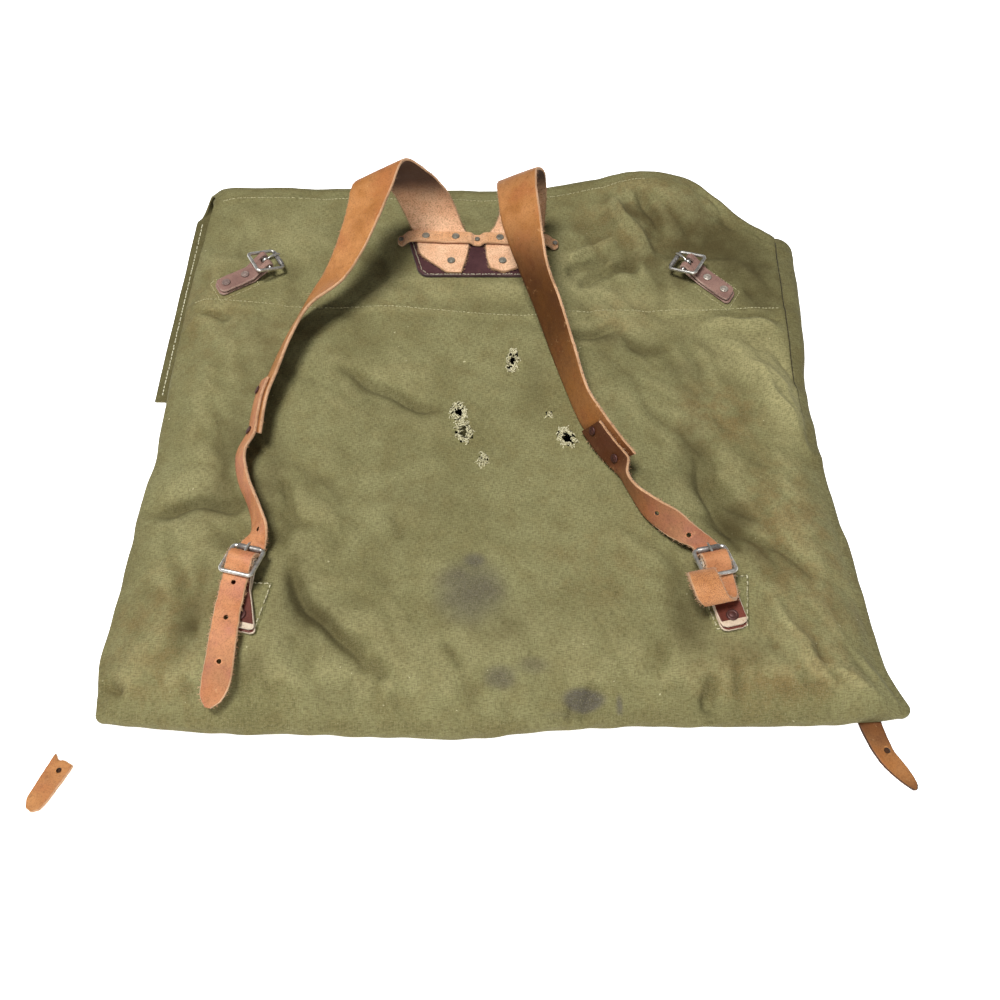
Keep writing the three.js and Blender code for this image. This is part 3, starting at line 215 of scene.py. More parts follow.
# Darker and lighter places, spread softly: painted shade beside and under the straps and tabs and on slopes
# turned from the light, with some dingy cloth; painted highlight on ridges, with some bleached cloth
SHADE_AND_DINGY = spot_table(
    (150, 150, 44, 34, 0.7), (190, 116, 30, 34, 0.65), (132, 106, 15, 17, 0.5), (196, 80, 20, 14, 0.4),
    (96, 126, 20, 11, 0.5), (112, 170, 20, 10, 0.35), (14, 168, 24, 28, 0.35), (-198, 132, 18, 20, 0.35),
    (-198, 55, 22, 13, 0.3), (-168, 32, 22, 34, 0.3), (-192, -96, 34, 12, 0.35), (-182, -60, 13, 45, 0.4),
    (-150, -80, 11, 45, 0.45), (-189, -190, 9, 17, 0.6), (-128, -160, 17, 36, 0.5),
    (-108, -182, 15, 16, 0.35), (-150, -214, 14, 9, 0.45), (-99, -230, 18, 8, 0.3), (4, -186, 18, 14, 0.3),
    (132, -50, 15, 40, 0.4), (154, -108, 15, 20, 0.6), (166, -142, 20, 14, 0.4), (116, -182, 13, 30, 0.5),
    (154, -207, 26, 9, 0.4), (132, 14, 14, 12, 0.4), (76, 46, 22, 8, 0.6), (102, 36, 18, 9, 0.5),
    (25, 5, 10, 42, 0.4), (-60, -96, 30, 14, 0.25), (0, -205, 250, 34, 0.16), (110, -170, 16, 34, 0.3),
    (150, -120, 16, 16, 0.3), (-182, -165, 12, 30, 0.2), (-178, -20, 20, 70, 0.2), (198, 104, 14, 24, 0.15),
    (0, -195, 60, 34, 0.1), (-40, -80, 70, 60, 0.07), (-190, -150, 40, 60, 0.1), (130, -62, 14, 34, 0.2),
)
BLEACH_AND_HIGHLIGHT = spot_table(
    (178, 28, 32, 26, 0.85), (198, -10, 16, 48, 0.8), (118, 58, 56, 14, 0.5), (100, 84, 36, 14, 0.5),
    (68, 8, 13, 42, 0.3), (176, -186, 9, 12, 0.5), (-44, 182, 15, 16, 0.3),
    (62, 104, 18, 12, 0.5), (50, 124, 12, 10, 0.5), (0, 88, 90, 13, 0.45), (-150, 74, 30, 24, 0.3),
    (-170, 152, 52, 36, 0.5), (170, -170, 60, 40, 0.15),
)
# Painted shade along the bottom and left edges, where the cloth turns down
EDGE_SHADE = {"reach": 7, "amount": 0.7}
MOST_GRIME_AND_SHADE = 1.3
# Cloth relief that lightens ridges and darkens valleys: painted highlight and painted shade, with some wear
# and dirt
RELIEF = table("cells most scale rim_from rim_to", (6, 3, 0.9, 0.01, 0.05), (17, 6, 3.5, 0.02, 0.1))

# The side walls below the seam: how far out and how high they are on their way to the ground
WALL = table("t out high", (0, 0, 1), (0.3, 0.8, 0.8), (0.58, 1, 0.42), (0.82, 0.82, 0.1), (1, 0.25, 0))
WALL_STEPS = 14
CORNER_STEPS = 6
WALL_FOOT = 0.4
WALL_WAVER = {"rise": 1.4, "size": 24, "slant": (30, 25)}
# Painted shade on the side walls, darker towards the ground
WALL_SHADE = {"grime_and_shade": (0.7, 0.5), "shade_and_dingy": 0.3}

# Points across and along each panel
BACK_GRID = (291, 273)
FRONT_GRID = (90, 80)
PATCH_GRID = (30, 36)
EDGE_PASSES = 4
# The flap is darkened with painted shade where it lies low under the bag
FLAP = {
    "left": -253, "right": 222, "hem_y": 8, "fold_depth": 13, "fold_run": 3, "hem": 9, "hem_rise": 0.9,
    "hem_fade": 2, "under": 0.3, "seam_in": 5, "shade_and_dingy": 0.45, "shade_below": (5, 25), "grime_and_shade": 0.7, "edge": 0.03,
    "thickness": CANVAS - 0.2,
}
FLAP_STEPS = {"fold": 16, "floor": 30}
FLAP_WAVE = {"rise": 0.2, "run": 200, "size": 30}
FLAP_EDGE_WAVE = {"rise": 0.8, "run": 190, "size": 40}
FRONT = {
    "inset": 3.5, "top_gap": 8, "over_flap": 2.2, "ramp": (-48, -16), "least": 0.2, "wave": 0.2,
    "wave_size": 30, "grime_and_shade": 0.8, "thickness": CANVAS - 0.3,
}
PATCH = {"sunk": 0.4, "proud": GAP + PATCH_CLOTH + 0.2, "rounded": 0.07, "wave": 0.12, "wave_size": 7,
         "grime_and_shade": 0.15}

# Buckles with their tabs, in a frame whose a runs along the tab and b across it
UPPER_BUCKLE = {"width": 22.8, "reach": 10.2, "wire": 1.1, "roller": 1.75, "moves": True}
LOWER_BUCKLE = {
    "floor": 33.8, "bar": 11, "width": 22.5, "reach": 10.8, "wire": 1.2, "roller": 1.9, "tilt": 13, "skew": 0,
    "tab_width": 17, "moves": False,
}
BUCKLES = {
    "upper_left": UPPER_BUCKLE | {
        "x": -177.5, "y": 113.6, "floor": 31.9, "heading": -150, "bar": 9.4, "tilt": 16, "skew": 12,
        "tab_width": 15, "tab_length": 40, "tab_shear": 0.06,
    },
    "upper_right": UPPER_BUCKLE | {
        "x": 141.7, "y": 110.8, "floor": 32.9, "heading": -30, "bar": 9.1, "tilt": 12, "skew": -24,
        "tab_width": 15.4, "tab_length": 40.5, "tab_shear": -0.33,
    },
    "lower_left": LOWER_BUCKLE | {"x": -158, "y": -152, "heading": -104, "tab_length": 40, "tab_shear": 0.5},
    "lower_right": LOWER_BUCKLE | {"x": 131.5, "y": -152.5, "heading": -77, "tab_length": 41, "tab_shear": 0},
}
TAB_LAND = 14
TAB_STRAIGHT = 12
TAB_LAYERS = GAP * 1.7
TAB_FOLD = {"run": 6, "lift": 0.2, "longer": 1.5, "turns": 16, "flat_steps": 24}
TAB_ROUND = {"radius": 4.5, "share": 0.8}
TAB_SKIVED = 4
TAB_SLOT = {"half": 2.8, "front": 5, "back": 3.8, "depth": 4.4}
BUCKLE_CORNER = {"radius": 2.4, "steps": 6}
ROLLER_END_ROOM = 1.6
FRAME_STOUT = 1.15
BAR_THIN = 0.95
PRONG = {"wire": 0.8, "root": 0.7, "knee_back": 4.4, "knee_high": 0.94, "past": 2.6, "dip": 0.5, "room": 0.7}
PRONG_RING = {"inner": 0.35, "wall": 1.15, "width": 2.2}
PRONG_TAPER = ([0, 0.8, 1], [1, 0.95, 0.6])
HOLE_RADIUS = {"tail": 1.5, "closing": 1.9, "torn": 1.6}
HOLE_REACH = 4

# Sides of round shapes
ROUND = {"hole": 16, "wire": 14, "roller": 24, "prong": 12, "thread": 6, "fibre": 4}


# Smooth curves and surfaces
def spread(values):
    """The next value less the one before, held at both ends."""
    index = np.arange(len(values))
    return values[np.minimum(index + 1, len(values) - 1)] - values[np.maximum(index - 1, 0)]


def run_length(points):
    """Length along a path up to each of its points."""
    return np.cumsum(np.linalg.norm(np.diff(points, axis=0, prepend=points[:1]), axis=-1), 0)


def read(rows, key, name, where):
    """Smooth curve through a table's rows, held level past its ends."""
    x, y = rows[key], rows[name]
    slope = spread(y) / spread(x)
    where = np.clip(where, x[0], x[-1])
    i = np.clip(np.searchsorted(x, where) - 1, 0, len(x) - 2)
    span = x[i + 1] - x[i]
    t = (where - x[i]) / span
    leave = t * (1 - t) ** 2 * span * slope[i]
    arrive = t * t * (t - 1) * span * slope[i + 1]
    return y[i] + (y[i + 1] - y[i]) * t * t * (3 - 2 * t) + leave + arrive


def smoothstep(value, low, high):
    t = np.clip((value - low) / (high - low), 0, 1)
    return t * t * (3 - 2 * t)


def unit(vectors):
    return vectors / np.linalg.norm(vectors, axis=-1, keepdims=True)


def share_grid(across, along):
    return np.meshgrid(np.linspace(0, 1, across), np.linspace(0, 1, along))


def from_rim(u, v):
    return np.minimum(np.minimum(u, 1 - u), np.minimum(v, 1 - v))


def ripple(x, y, size, seed):
    """Smooth noise from about -1 to 1 over the plan."""
    spots = np.stack([x / size, y / size, np.full(np.shape(x), float(seed))], -1).reshape(-1, 3)
    return np.array([noise.noise(spot) for spot in spots]).reshape(np.shape(x))


def line_distance(points, x, y):
    found = np.full(np.shape(x), 1e6)
    for (x0, y0), (x1, y1) in zip(points, points[1:]):
        dx, dy = x1 - x0, y1 - y0
        t = np.clip(((x - x0) * dx + (y - y0) * dy) / (dx * dx + dy * dy), 0, 1)
        found = np.minimum(found, np.hypot(x - x0 - t * dx, y - y0 - t * dy))
    return found


def folded(folds, x, y):
    return sum(rise * np.exp(-(line_distance(points, x, y) / half) ** 2) for _, points, half, rise in folds)


def creased(folds, x, y):
    """Folds as worn cloth has them: wavering, sharp along the middle and dying out at both ends."""
    wx = x + CREASE["waver"] * ripple(x, y, CREASE["size"], seed=21)
    wy = y + CREASE["waver"] * ripple(x, y, CREASE["size"], seed=22)
    sharp = CREASE["sharp"]
    total = np.zeros(np.shape(x))
    for _, points, half, rise in folds:
        away = line_distance(points, wx, wy) / half
        way = np.subtract(points[-1], points[0])
        t = ((wx - points[0][0]) * way[0] + (wy - points[0][1]) * way[1]) / (way ** 2).sum()
        taper = smoothstep(t, *CREASE["starts"]) * (1 - smoothstep(t, *CREASE["ends"]))
        profile = (1 - sharp) * np.exp(-away ** 2) + sharp * np.exp(-CREASE["keen"] * np.abs(away))
        total += CREASE["depth"] * rise * taper * profile
    return total


def spots(rows, x, y, firm=2):
    """Round spots of a table, added up; firm ones have a flatter middle."""
    total = np.zeros(np.shape(x))
    for sx, sy, reach_x, reach_y, amount in zip(*rows.values()):
        total += amount * np.exp(-(((x - sx) / reach_x) ** 2 + ((y - sy) / reach_y) ** 2) ** firm)
    return total


def edge_drop(inward, reach, full, rim):
    return (full - rim) * np.clip(1 - inward / reach, 0, 1) ** 2


def pad_weights(x, y, fade):
    for px, py, half_x, half_y, z in zip(*PADS.values()):
        out = np.maximum(np.maximum(np.abs(x - px) - half_x, np.abs(y - py) - half_y), 0)
        yield z, 1 - smoothstep(out, 0, fade)


def back_top(x, y, folds=None):
    """Height of the back panel, with the frame's own folds or with those given."""
    x, y = np.asarray(x, float), np.asarray(y, float)
    full = LEVEL + spots(SWELLS, x, y, firm=1)
    drop = np.maximum.reduce([
        edge_drop(x - read(LEFT_EDGE, "y", "x", y), RISE_IN["left"], full, read(LEFT_EDGE, "y", "rim", y)),
        edge_drop(read(RIGHT_EDGE, "y", "x", y) - x, RISE_IN["right"], full, read(RIGHT_EDGE, "y", "rim", y)),
        edge_drop(y - read(BOTTOM_EDGE, "x", "y", x), RISE_IN["bottom"], full, BOTTOM_RIM),
        edge_drop(read(TOP_EDGE, "x", "y", x) - y, RISE_IN["top"], full, read(TOP_EDGE, "x", "rim", x)),
    ])
    height = full - drop + (folded(FOLDS, x, y) if folds is None else folds)
    for z, weight in pad_weights(x, y, PAD_FADE):
        height = height + (z - height) * weight
    return np.maximum(height, LOWEST_RIM)


def rumples(x, y):
    """Uneven folds of worn cloth, with sharp valleys between soft swellings."""
    total = np.zeros(np.shape(x))
    way_x, way_y = RUMPLE["way"]
    for k, (size, height) in enumerate(zip(*RUMPLES.values())):
        wx = x + RUMPLE["warp"] * size * ripple(x, y, size, seed=31 + k)
        wy = y + RUMPLE["warp"] * size * ripple(x, y, size, seed=41 + k)
        along, across = wx * way_x + wy * way_y, wx * way_y - wy * way_x
        swell = np.abs(ripple(along * RUMPLE["stretch"], across, size, seed=51 + k))
        total = total + height * (np.minimum(swell * RUMPLE["steep"], 1) - RUMPLE["sunk"])
    return total * (RUMPLE["least"] + (1 - RUMPLE["least"]) * np.minimum(spots(RUMPLED, x, y), 1))


def cloth_top(x, y):
    """Height of the worn cloth: the frame's panel with its fine creases, ripples and seams."""
    x, y = np.asarray(x, float), np.asarray(y, float)
    fine = rumples(x, y)
    for k, (size, height) in enumerate(zip(*RIPPLES.values())):
        fine = fine + height * ripple(x, y, size, seed=k)
    from_seam = y - read(BACK_SEAM, "x", "y", x)
    from_hem = read(TOP_EDGE, "x", "y", x) - HEM_IN - y
    for away in (from_seam, from_hem):
        fine = fine + SEAM_RIDGE["rise"] * np.exp(-(away / SEAM_RIDGE["half"]) ** 2)
    from_side = (read(RIGHT_EDGE, "y", "x", y) - x) / SEAM_DIRT["half"]
    fine = fine - SEAM_DIRT["groove"] * np.exp(-from_side ** 2) * smoothstep(y, *SEAM_DIRT["right_from"])
    free = 1.0
    for _, weight in pad_weights(x, y, CREASE_FADE):
        free = free * (1 - weight)
    fine = fine + creased(FOLDS + CREASES, x, y)
    return np.maximum(back_top(x, y, 0.0) + fine * free, LOWEST_CLOTH)


def spline(points, steps, straight=0):
    """Curve through points, with so many steps between each two and its first pieces straight."""
    points = np.asarray(points, float)
    padded = np.vstack([2 * points[0] - points[1], points, 2 * points[-1] - points[-2]])
    t = (np.arange(steps) / steps)[:, None]
    pieces = []
    for k in range(len(points) - 1):
        p0, p1, p2, p3 = padded[k:k + 4]
        d0, d1, d2 = (max(np.linalg.norm(b - a) ** 0.5, 1e-3) for a, b in ((p0, p1), (p1, p2), (p2, p3)))
        leave = ((p1 - p0) / d0 - (p2 - p0) / (d0 + d1) + (p2 - p1) / d1) * d1
        arrive = ((p2 - p1) / d1 - (p3 - p1) / (d1 + d2) + (p3 - p2) / d2) * d1
        square = -3 * p1 + 3 * p2 - 2 * leave - arrive
        cube = 2 * p1 - 2 * p2 + leave + arrive
        curved = p1 + leave * t + square * t ** 2 + cube * t ** 3
        pieces.append(p1 + (p2 - p1) * t if k < straight else curved)
    return np.vstack(pieces + [points[-1:]])


# Mesh makers: each returns its points and its faces
def grid_faces(rows, columns, wrap=False):
    across = np.arange(columns if wrap else columns - 1)
    j, i = np.meshgrid(np.arange(rows - 1), across, indexing="ij")
    k = (i + 1) % columns
    quads = np.stack([j * columns + i, j * columns + k, (j + 1) * columns + k, (j + 1) * columns + i], -1)
    return quads.reshape(-1, 4).tolist()


def ring_faces(rings, sides, closed=False):
    """Faces round a pile of rings, its two ends capped or, when closed, joined to each other."""
    if closed:
        faces = grid_faces(rings + 1, sides, wrap=True)
        return [[k % (rings * sides) for k in face] for face in faces]
    caps = [list(range(sides))[::-1], list(range((rings - 1) * sides, rings * sides))]
    return grid_faces(rings, sides, wrap=True) + caps


def joined(shapes):
    points, faces = [], []
    count = 0
    for shape_points, shape_faces in shapes:
        points.append(np.asarray(shape_points, float).reshape(-1, 3))
        faces += [[k + count for k in face] for face in shape_faces]
        count += len(points[-1])
    return np.vstack(points), faces


def tube(path, radius, sides=10, closed=False):
    path = np.asarray(path, float)
    count = len(path)
    around = np.roll(path, -1, 0) - np.roll(path, 1, 0)
    run = unit(around if closed else np.gradient(path, axis=0))
    side = np.empty_like(path)
    guide = np.cross(run[0], UP)
    if np.linalg.norm(guide) < 0.1:
        guide = np.cross(run[0], (0, 1, 0))
    for k in range(count):
        guide = guide - run[k] * guide.dot(run[k])
        guide = guide / np.linalg.norm(guide)
        side[k] = guide
    over = np.cross(run, side)
    angle = np.linspace(0, 2 * math.pi, sides, endpoint=False)
    ring = np.cos(angle)[None, :, None] * side[:, None] + np.sin(angle)[None, :, None] * over[:, None]
    points = path[:, None] + ring * np.broadcast_to(radius, count)[:, None, None]
    return points.reshape(-1, 3), ring_faces(count, sides, closed)


def turned(profile, sides=28, closed=False):
    """Rows of radius and height turned about the Z axis."""
    angle = np.linspace(0, 2 * math.pi, sides, endpoint=False)
    rings = [np.stack([r * np.cos(angle), r * np.sin(angle), np.full(sides, z)], -1) for r, z in profile]
    return np.vstack(rings), ring_faces(len(rings), sides, closed)


def drill(spot, way, radius, below=HOLE_REACH):
    """Round cutter through a spot, from so far below it to well above it."""
    return tube([spot - below * way, spot, spot + HOLE_REACH * way], radius, ROUND["hole"])


def placed(points, matrix):
    return points @ matrix[:3, :3].T + matrix[:3, 3]


def moved(shape, matrix):
    return placed(shape[0], matrix), shape[1]


def turn_matrix(axis, degrees):
    c, s = math.cos(math.radians(degrees)), math.sin(math.radians(degrees))
    made = np.eye(4)
    first, second = {"x": (1, 2), "y": (2, 0), "z": (0, 1)}[axis]
    made[first, first] = made[second, second] = c
    made[first, second] = -s
    made[second, first] = s
    return made


def shift_matrix(x, y, z):
    made = np.eye(4)
    made[:3, 3] = (x, y, z)
    return made


def add_object(name, data):
    obj = bpy.data.objects.new(name, data)
    bpy.context.scene.collection.objects.link(obj)
    return obj


def new_mesh(name, shape, materials):
    points, faces = shape
    mesh = bpy.data.meshes.new(name)
    mesh.from_pydata(((np.reshape(points, (-1, 3)) + SHIFT) * MM).tolist(), [], faces)
    for material in materials:
        mesh.materials.append(material)
    return mesh


def make_piece(name, shape, materials, body="bag", stands_for=(), kinds=None, layers=None, weave=None):
    """A piece that rides on a body; kinds are its faces' materials, layers its points' painted values."""
    mesh = new_mesh(name, shape, materials)
    if kinds is not None:
        mesh.polygons.foreach_set("material_index", np.asarray(kinds, np.int32))
    for layer, values in (layers or {}).items():
        data = mesh.attributes.new(layer, "FLOAT", "POINT").data
        data.foreach_set("value", np.asarray(values, np.float32).ravel())
    if weave is not None:
        corner = np.empty(len(mesh.loops), np.int32)
        mesh.loops.foreach_get("vertex_index", corner)
        flat = np.asarray(weave, np.float32).reshape(-1, 2)[corner]
        mesh.uv_layers.new(name="weave").data.foreach_set("uv", flat.ravel())
    mesh.polygons.foreach_set("use_smooth", np.ones(len(mesh.polygons), bool))
    obj = add_object(name, mesh)
    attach(obj, body)
    if stands_for:
        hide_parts(*stands_for)
    return obj


def tidy_mesh(obj, merge=0.0):
    """Turns the faces outward; with a merge distance, also joins near points and drops loose ones."""
    work = bmesh.new()
    work.from_mesh(obj.data)
    if merge:
        bmesh.ops.remove_doubles(work, verts=work.verts, dist=merge * MM)
        loose = [v for v in work.verts if not v.link_faces]
        bmesh.ops.delete(work, geom=loose, context="VERTS")
    bmesh.ops.recalc_face_normals(work, faces=work.faces)
    work.to_mesh(obj.data)
    work.free()


def cut_out(obj, cutters, kind):
    """Cuts closed shapes out of a piece; the cut takes the piece's material of that number."""
    mesh = new_mesh("cutter", joined(cutters), obj.data.materials)
    mesh.polygons.foreach_set("material_index", np.full(len(mesh.polygons), kind, np.int32))
    tool = add_object("cutter", mesh)
    tidy_mesh(tool)
    cut = obj.modifiers.new("cut", "BOOLEAN")
    cut.object = tool
    cut.operation = "DIFFERENCE"
    cut.solver = "EXACT"
    bpy.context.view_layer.objects.active = obj
    with bpy.context.temp_override(object=obj, active_object=obj):
        bpy.ops.object.modifier_apply(modifier="cut")
    bpy.data.objects.remove(tool)
    bpy.data.meshes.remove(mesh)


# Materials
def colour(code):
    """Linear colour of a six-digit code."""
    channels = [int(code[k:k + 2], 16) / 255 for k in (0, 2, 4)]
    return (*[((c + 0.055) / 1.055) ** 2.4 for c in channels], 1.0)


class Paint:
    """Writes one node material, with coordinates in millimetres."""

    def __init__(self, name, metallic=0.0, sheen=0.0):
        self.material = bpy.data.materials.new(name)
        self.material.use_nodes = True
        self.tree = self.material.node_tree
        self.shader = self.tree.nodes["Principled BSDF"]
        self.shader.inputs["Metallic"].default_value = metallic
        self.shader.inputs["Sheen Weight"].default_value = sheen
        self.shader.inputs["Specular IOR Level"].default_value = SHINE["metal" if metallic else "soft"]
        place = self.node("TexCoord").outputs["Object"]
        self.place = self.node("Mapping", {"Vector": place, "Scale": (1 / MM,) * 3}).outputs[0]

    def node(self, kind, inputs=None, **settings):
        made = self.tree.nodes.new("ShaderNode" + kind)
        for key, value in settings.items():
            setattr(made, key, value)
        for key, value in (inputs or {}).items():
            if isinstance(value, bpy.types.NodeSocket):
                self.tree.links.new(value, made.inputs[key])
            else:
                made.inputs[key].default_value = value
        return made

    def stretch(self, place, scale):
        return self.node("Mapping", {"Vector": place, "Scale": scale}).outputs[0]

    def noise(self, size, detail=3, place=None, rough=0.55):
        """Noise whose lumps are about size millimetres across."""
        inputs = {"Vector": place or self.place, "Scale": 1 / size, "Detail": detail, "Roughness": rough}
        return self.node("TexNoise", inputs).outputs[0]

    def layer(self, name):
        return self.node("Attribute", attribute_name=name).outputs["Fac"]

    def fade(self, value, low, high, start=0.0, end=1.0):
        inputs = {"Value": value, "From Min": low, "From Max": high, "To Min": start, "To Max": end}
        return self.node("MapRange", inputs, interpolation_type="SMOOTHSTEP").outputs[0]

    def sum(self, a, b, share=1.0):
        return self.node("Math", {0: b, 1: share, 2: a}, operation="MULTIPLY_ADD").outputs[0]

    def times(self, a, b):
        return self.node("Math", {0: a, 1: b}, operation="MULTIPLY").outputs[0]

    def mix(self, amount, a, b):
        a, b = (colour(c) if isinstance(c, str) else c for c in (a, b))
        return self.node("Mix", {0: amount, 6: a, 7: b}, data_type="RGBA").outputs[2]

    def over(self, base, tint, value, low, high, most=1.0):
        """Lays a tint over the base as the value rises from low to high."""
        return self.mix(self.fade(value, low, high, 0, most), base, tint)

    def finish(self, base, rough, height, depth, strength=1.0):
        bump = self.node("Bump", {"Height": height, "Distance": depth * MM, "Strength": strength})
        for socket, value in (("Base Color", base), ("Roughness", rough), ("Normal", bump.outputs[0])):
            self.tree.links.new(value, self.shader.inputs[socket])
        return self.material


def canvas_paint(name):
    """Olive cotton duck: uneven threads both ways, rusty and sooty places, ridges lightened and valleys
    darkened with wear, dirt, painted highlight and painted shade.
    """
    p = Paint(name)
    weave = p.node("UVMap", uv_map="weave").outputs[0]
    weft = p.noise(1.0, 2, p.stretch(weave, (0.3, 1.7, 1)))
    warp = p.noise(1.0, 2, p.stretch(weave, (1.6, 0.28, 1)))
    thread = p.sum(p.times(weft, 0.6), warp, 0.4)
    blotch = p.noise(14, 5, rough=0.65)
    fine = p.noise(0.8, 2)
    base = p.over("77724b", "87835a", p.noise(45, 4), 0.35, 0.65)
    base = p.over(base, "6a5d36", blotch, 0.42, 0.72, 0.42)
    base = p.over(base, "9a9365", p.noise(7, 4, rough=0.7), 0.5, 0.75, 0.25)
    rust = p.times(p.layer("rust"), p.fade(blotch, 0.25, 0.65))
    base = p.over(base, "80623a", rust, 0.0, 0.9, 0.55)
    # Painted highlight on ridges with some wear; painted shade in valleys and along turned-down edges, with
    # seam dirt
    base = p.over(base, "aaa274", p.layer("wear_and_highlight"), 0.0, 1.2, 0.3)
    base = p.over(base, "4f4526", p.layer("grime_and_shade"), 0.0, 1.2, 0.36)
    soot = p.sum(p.layer("soot"), p.sum(blotch, -0.5), 0.5)
    base = p.over(base, "55504a", soot, 0.05, 1.1, 0.86)
    # Painted highlight on ridges, with some bleached cloth
    base = p.over(base, "b3ab7a", p.layer("bleach_and_highlight"), 0.0, 1.0, 0.55)
    base = p.mix(p.fade(thread, 0.36, 0.60, 0.58, 0.0), base, "453f24")
    base = p.over(base, "aba57e", fine, 0.5, 0.75, 0.26)
    specks = p.fade(p.noise(2.6, 1, rough=0.4), 0.77, 0.8)
    near = p.fade(p.noise(30, 2), 0.5, 0.62)
    base = p.mix(p.times(p.times(specks, near), 0.6), base, "cfc8a0")
    # Painted shade beside the straps and on slopes turned from the light, with some dingy cloth; also the
    # flap's and side walls' painted shade
    shade_and_dingy = p.times(p.layer("shade_and_dingy"), p.fade(blotch, 0.2, 0.7, 0.75, 1.15))
    base = p.over(base, "433a1f", shade_and_dingy, 0.0, 1.0, 0.84)
    return p.finish(base, p.fade(fine, 0.2, 0.8, 0.86, 0.97), p.sum(thread, fine, 0.35), 0.6, 0.8)


def grain_paint(name, light, mid, dark, gloss=0.5, scuffed=0.5, blush=None):
    """Smooth side of old strap leather: fine grain, streaks, scuffs and darker stretches, partly the
    leather's own and partly painted shade.
    """
    p = Paint(name)
    cloud = p.noise(16, 5, rough=0.6)
    pores = p.noise(0.9, 3)
    streak = p.noise(3.5, 4, rough=0.7)
    base = p.over(mid, light, cloud, 0.32, 0.68)
    if blush:
        base = p.over(base, blush, p.noise(24, 4), 0.45, 0.68, 0.7)
    base = p.over(base, dark, streak, 0.5, 0.78, 0.4)
    # Darker stretches along the run: the leather's own darkening, and painted shade inside the right tail's
    # curl and where the strap faces away from the light
    handled_and_shaded = p.sum(p.layer("shade"), p.sum(cloud, -0.5), 0.6)
    base = p.over(base, dark, handled_and_shaded, 0.15, 1.0, 0.92)
    base = p.mix(p.fade(pores, 0.36, 0.52, 0.25, 0), base, dark)
    base = p.over(base, "d8aa78", p.noise(5, 6, rough=0.75), 0.6, 0.72, scuffed)
    rough = p.fade(cloud, 0.3, 0.7, gloss - 0.1, gloss + 0.14)
    return p.finish(base, rough, p.sum(pores, streak, 0.5), 0.35, 0.5)


def flesh_paint(name, light, mid, dark, lump=1.1, speckled=0.68):
    """Rough inner side of strap leather: corky lumps and dark specks."""
    p = Paint(name, sheen=0.15)
    cloud = p.noise(14, 4)
    cork = p.noise(lump, 4, rough=0.75)
    base = p.over(mid, light, cloud, 0.3, 0.7)
    base = p.over(base, dark, cork, 0.44, 0.66, speckled)
    # Darkened along the run: painted shadow under the arch of the shoulder-strap loops
    handled_and_shaded = p.sum(p.layer("shade"), p.sum(cloud, -0.5), 0.3)
    base = p.over(base, "331708", handled_and_shaded, 0.1, 1.0, 0.94)
    return p.finish(base, p.fade(cork, 0.2, 0.8, 0.98, 0.85), cork, 0.7, 0.8)


def edge_paint(name, light, mid, dark):
    """Cut edge of leather: pale fibres and dark pits."""
    p = Paint(name, sheen=0.2)
    fibre = p.noise(1.3, 4, rough=0.75)
    base = p.over(mid, light, p.noise(20, 3), 0.3, 0.7)
    base = p.over(base, dark, fibre, 0.5, 0.75, 0.8)
    return p.finish(base, p.fade(fibre, 0.2, 0.8, 0.95, 0.85), fibre, 0.6, 0.8)


def metal_paint(name, bright, dull, stain, gloss, metallic=0.85):
    """Old steel: bright where it is rubbed, dull and brown-spotted elsewhere."""
    p = Paint(name, metallic=metallic)
    cloud = p.noise(5, 4)
    spot = p.noise(1.4, 3)
    base = p.over(dull, bright, cloud, 0.35, 0.65)
    base = p.over(base, stain, spot, 0.58, 0.72, 0.7)
    return p.finish(base, p.fade(cloud, 0.3, 0.7, gloss + 0.15, gloss), spot, 0.15, 0.5)


def thread_paint(name, light, dark):
    p = Paint(name, sheen=0.1)
    twist = p.noise(0.8, 2)
    base = p.over(dark, light, twist, 0.35, 0.65)
    base = p.over(base, dark, p.noise(25, 2), 0.4, 0.65, 0.5)
    return p.finish(base, p.fade(twist, 0.2, 0.8, 0.9, 0.8), twist, 0.2, 0.6)


canvas = canvas_paint("canvas")
tan_grain = grain_paint("tan_grain", "b9804c", "a36b38", "44220c", blush="a8683c")
tan_flesh = flesh_paint("tan_flesh", "f2c8a2", "e2b08a", "935f3a")
suede = flesh_paint("suede", "cc9160", "b87b4a", "74432a", 0.6, 0.8)
tan_edge = edge_paint("tan_edge", "cba17c", "ad8460", "6d4629")
end_grain = grain_paint("end_grain", "cb8e61", "b4744a", "3c1d0d", scuffed=0.35, blush="b27058")
band_tan = flesh_paint("band_tan", "dfb088", "d29c6e", "7f5230")
# Inside of holes and cuts: painted shade, dark where only shade shows; also the closing strap's dark cut edge
hole_shade_and_dark_edge = edge_paint("hole_shade_and_dark_edge", "4a2f1c", "3a2414", "1c110a")
plum = grain_paint("plum_leather", "523436", "432a2c", "22151a", gloss=0.42, scuffed=0.08)
mauve = grain_paint("mauve_leather", "957569", "82645b", "402a28", gloss=0.45, scuffed=0.15)
oxblood = grain_paint("oxblood_leather", "70392c", "582b21", "2c1613", gloss=0.42, scuffed=0.1)
plum_edge = edge_paint("plum_edge", "4a3430", "35231f", "1c1312")
mauve_edge = edge_paint("mauve_edge", "a78c7e", "85695e", "3f2c26")
pale_edge = edge_paint("pale_edge", "dccdb6", "c4ae95", "8f6c52")
steel = metal_paint("dull_steel", "e2e0da", "b4b0a8", "6a5e50", 0.3)
roller_steel = metal_paint("roller_steel", "a29e99", "75716d", "443e38", 0.38, 0.6)
rivet_metal = metal_paint("rivet_metal", "8a877b", "6c695f", "443e30", 0.55, 0.6)
rivet_maroon = metal_paint("rivet_maroon", "56332e", "40241f", "241310", 0.4, 0.4)
rivet_mauve = metal_paint("rivet_mauve", "97857b", "7d6a63", "4a3834", 0.5, 0.4)
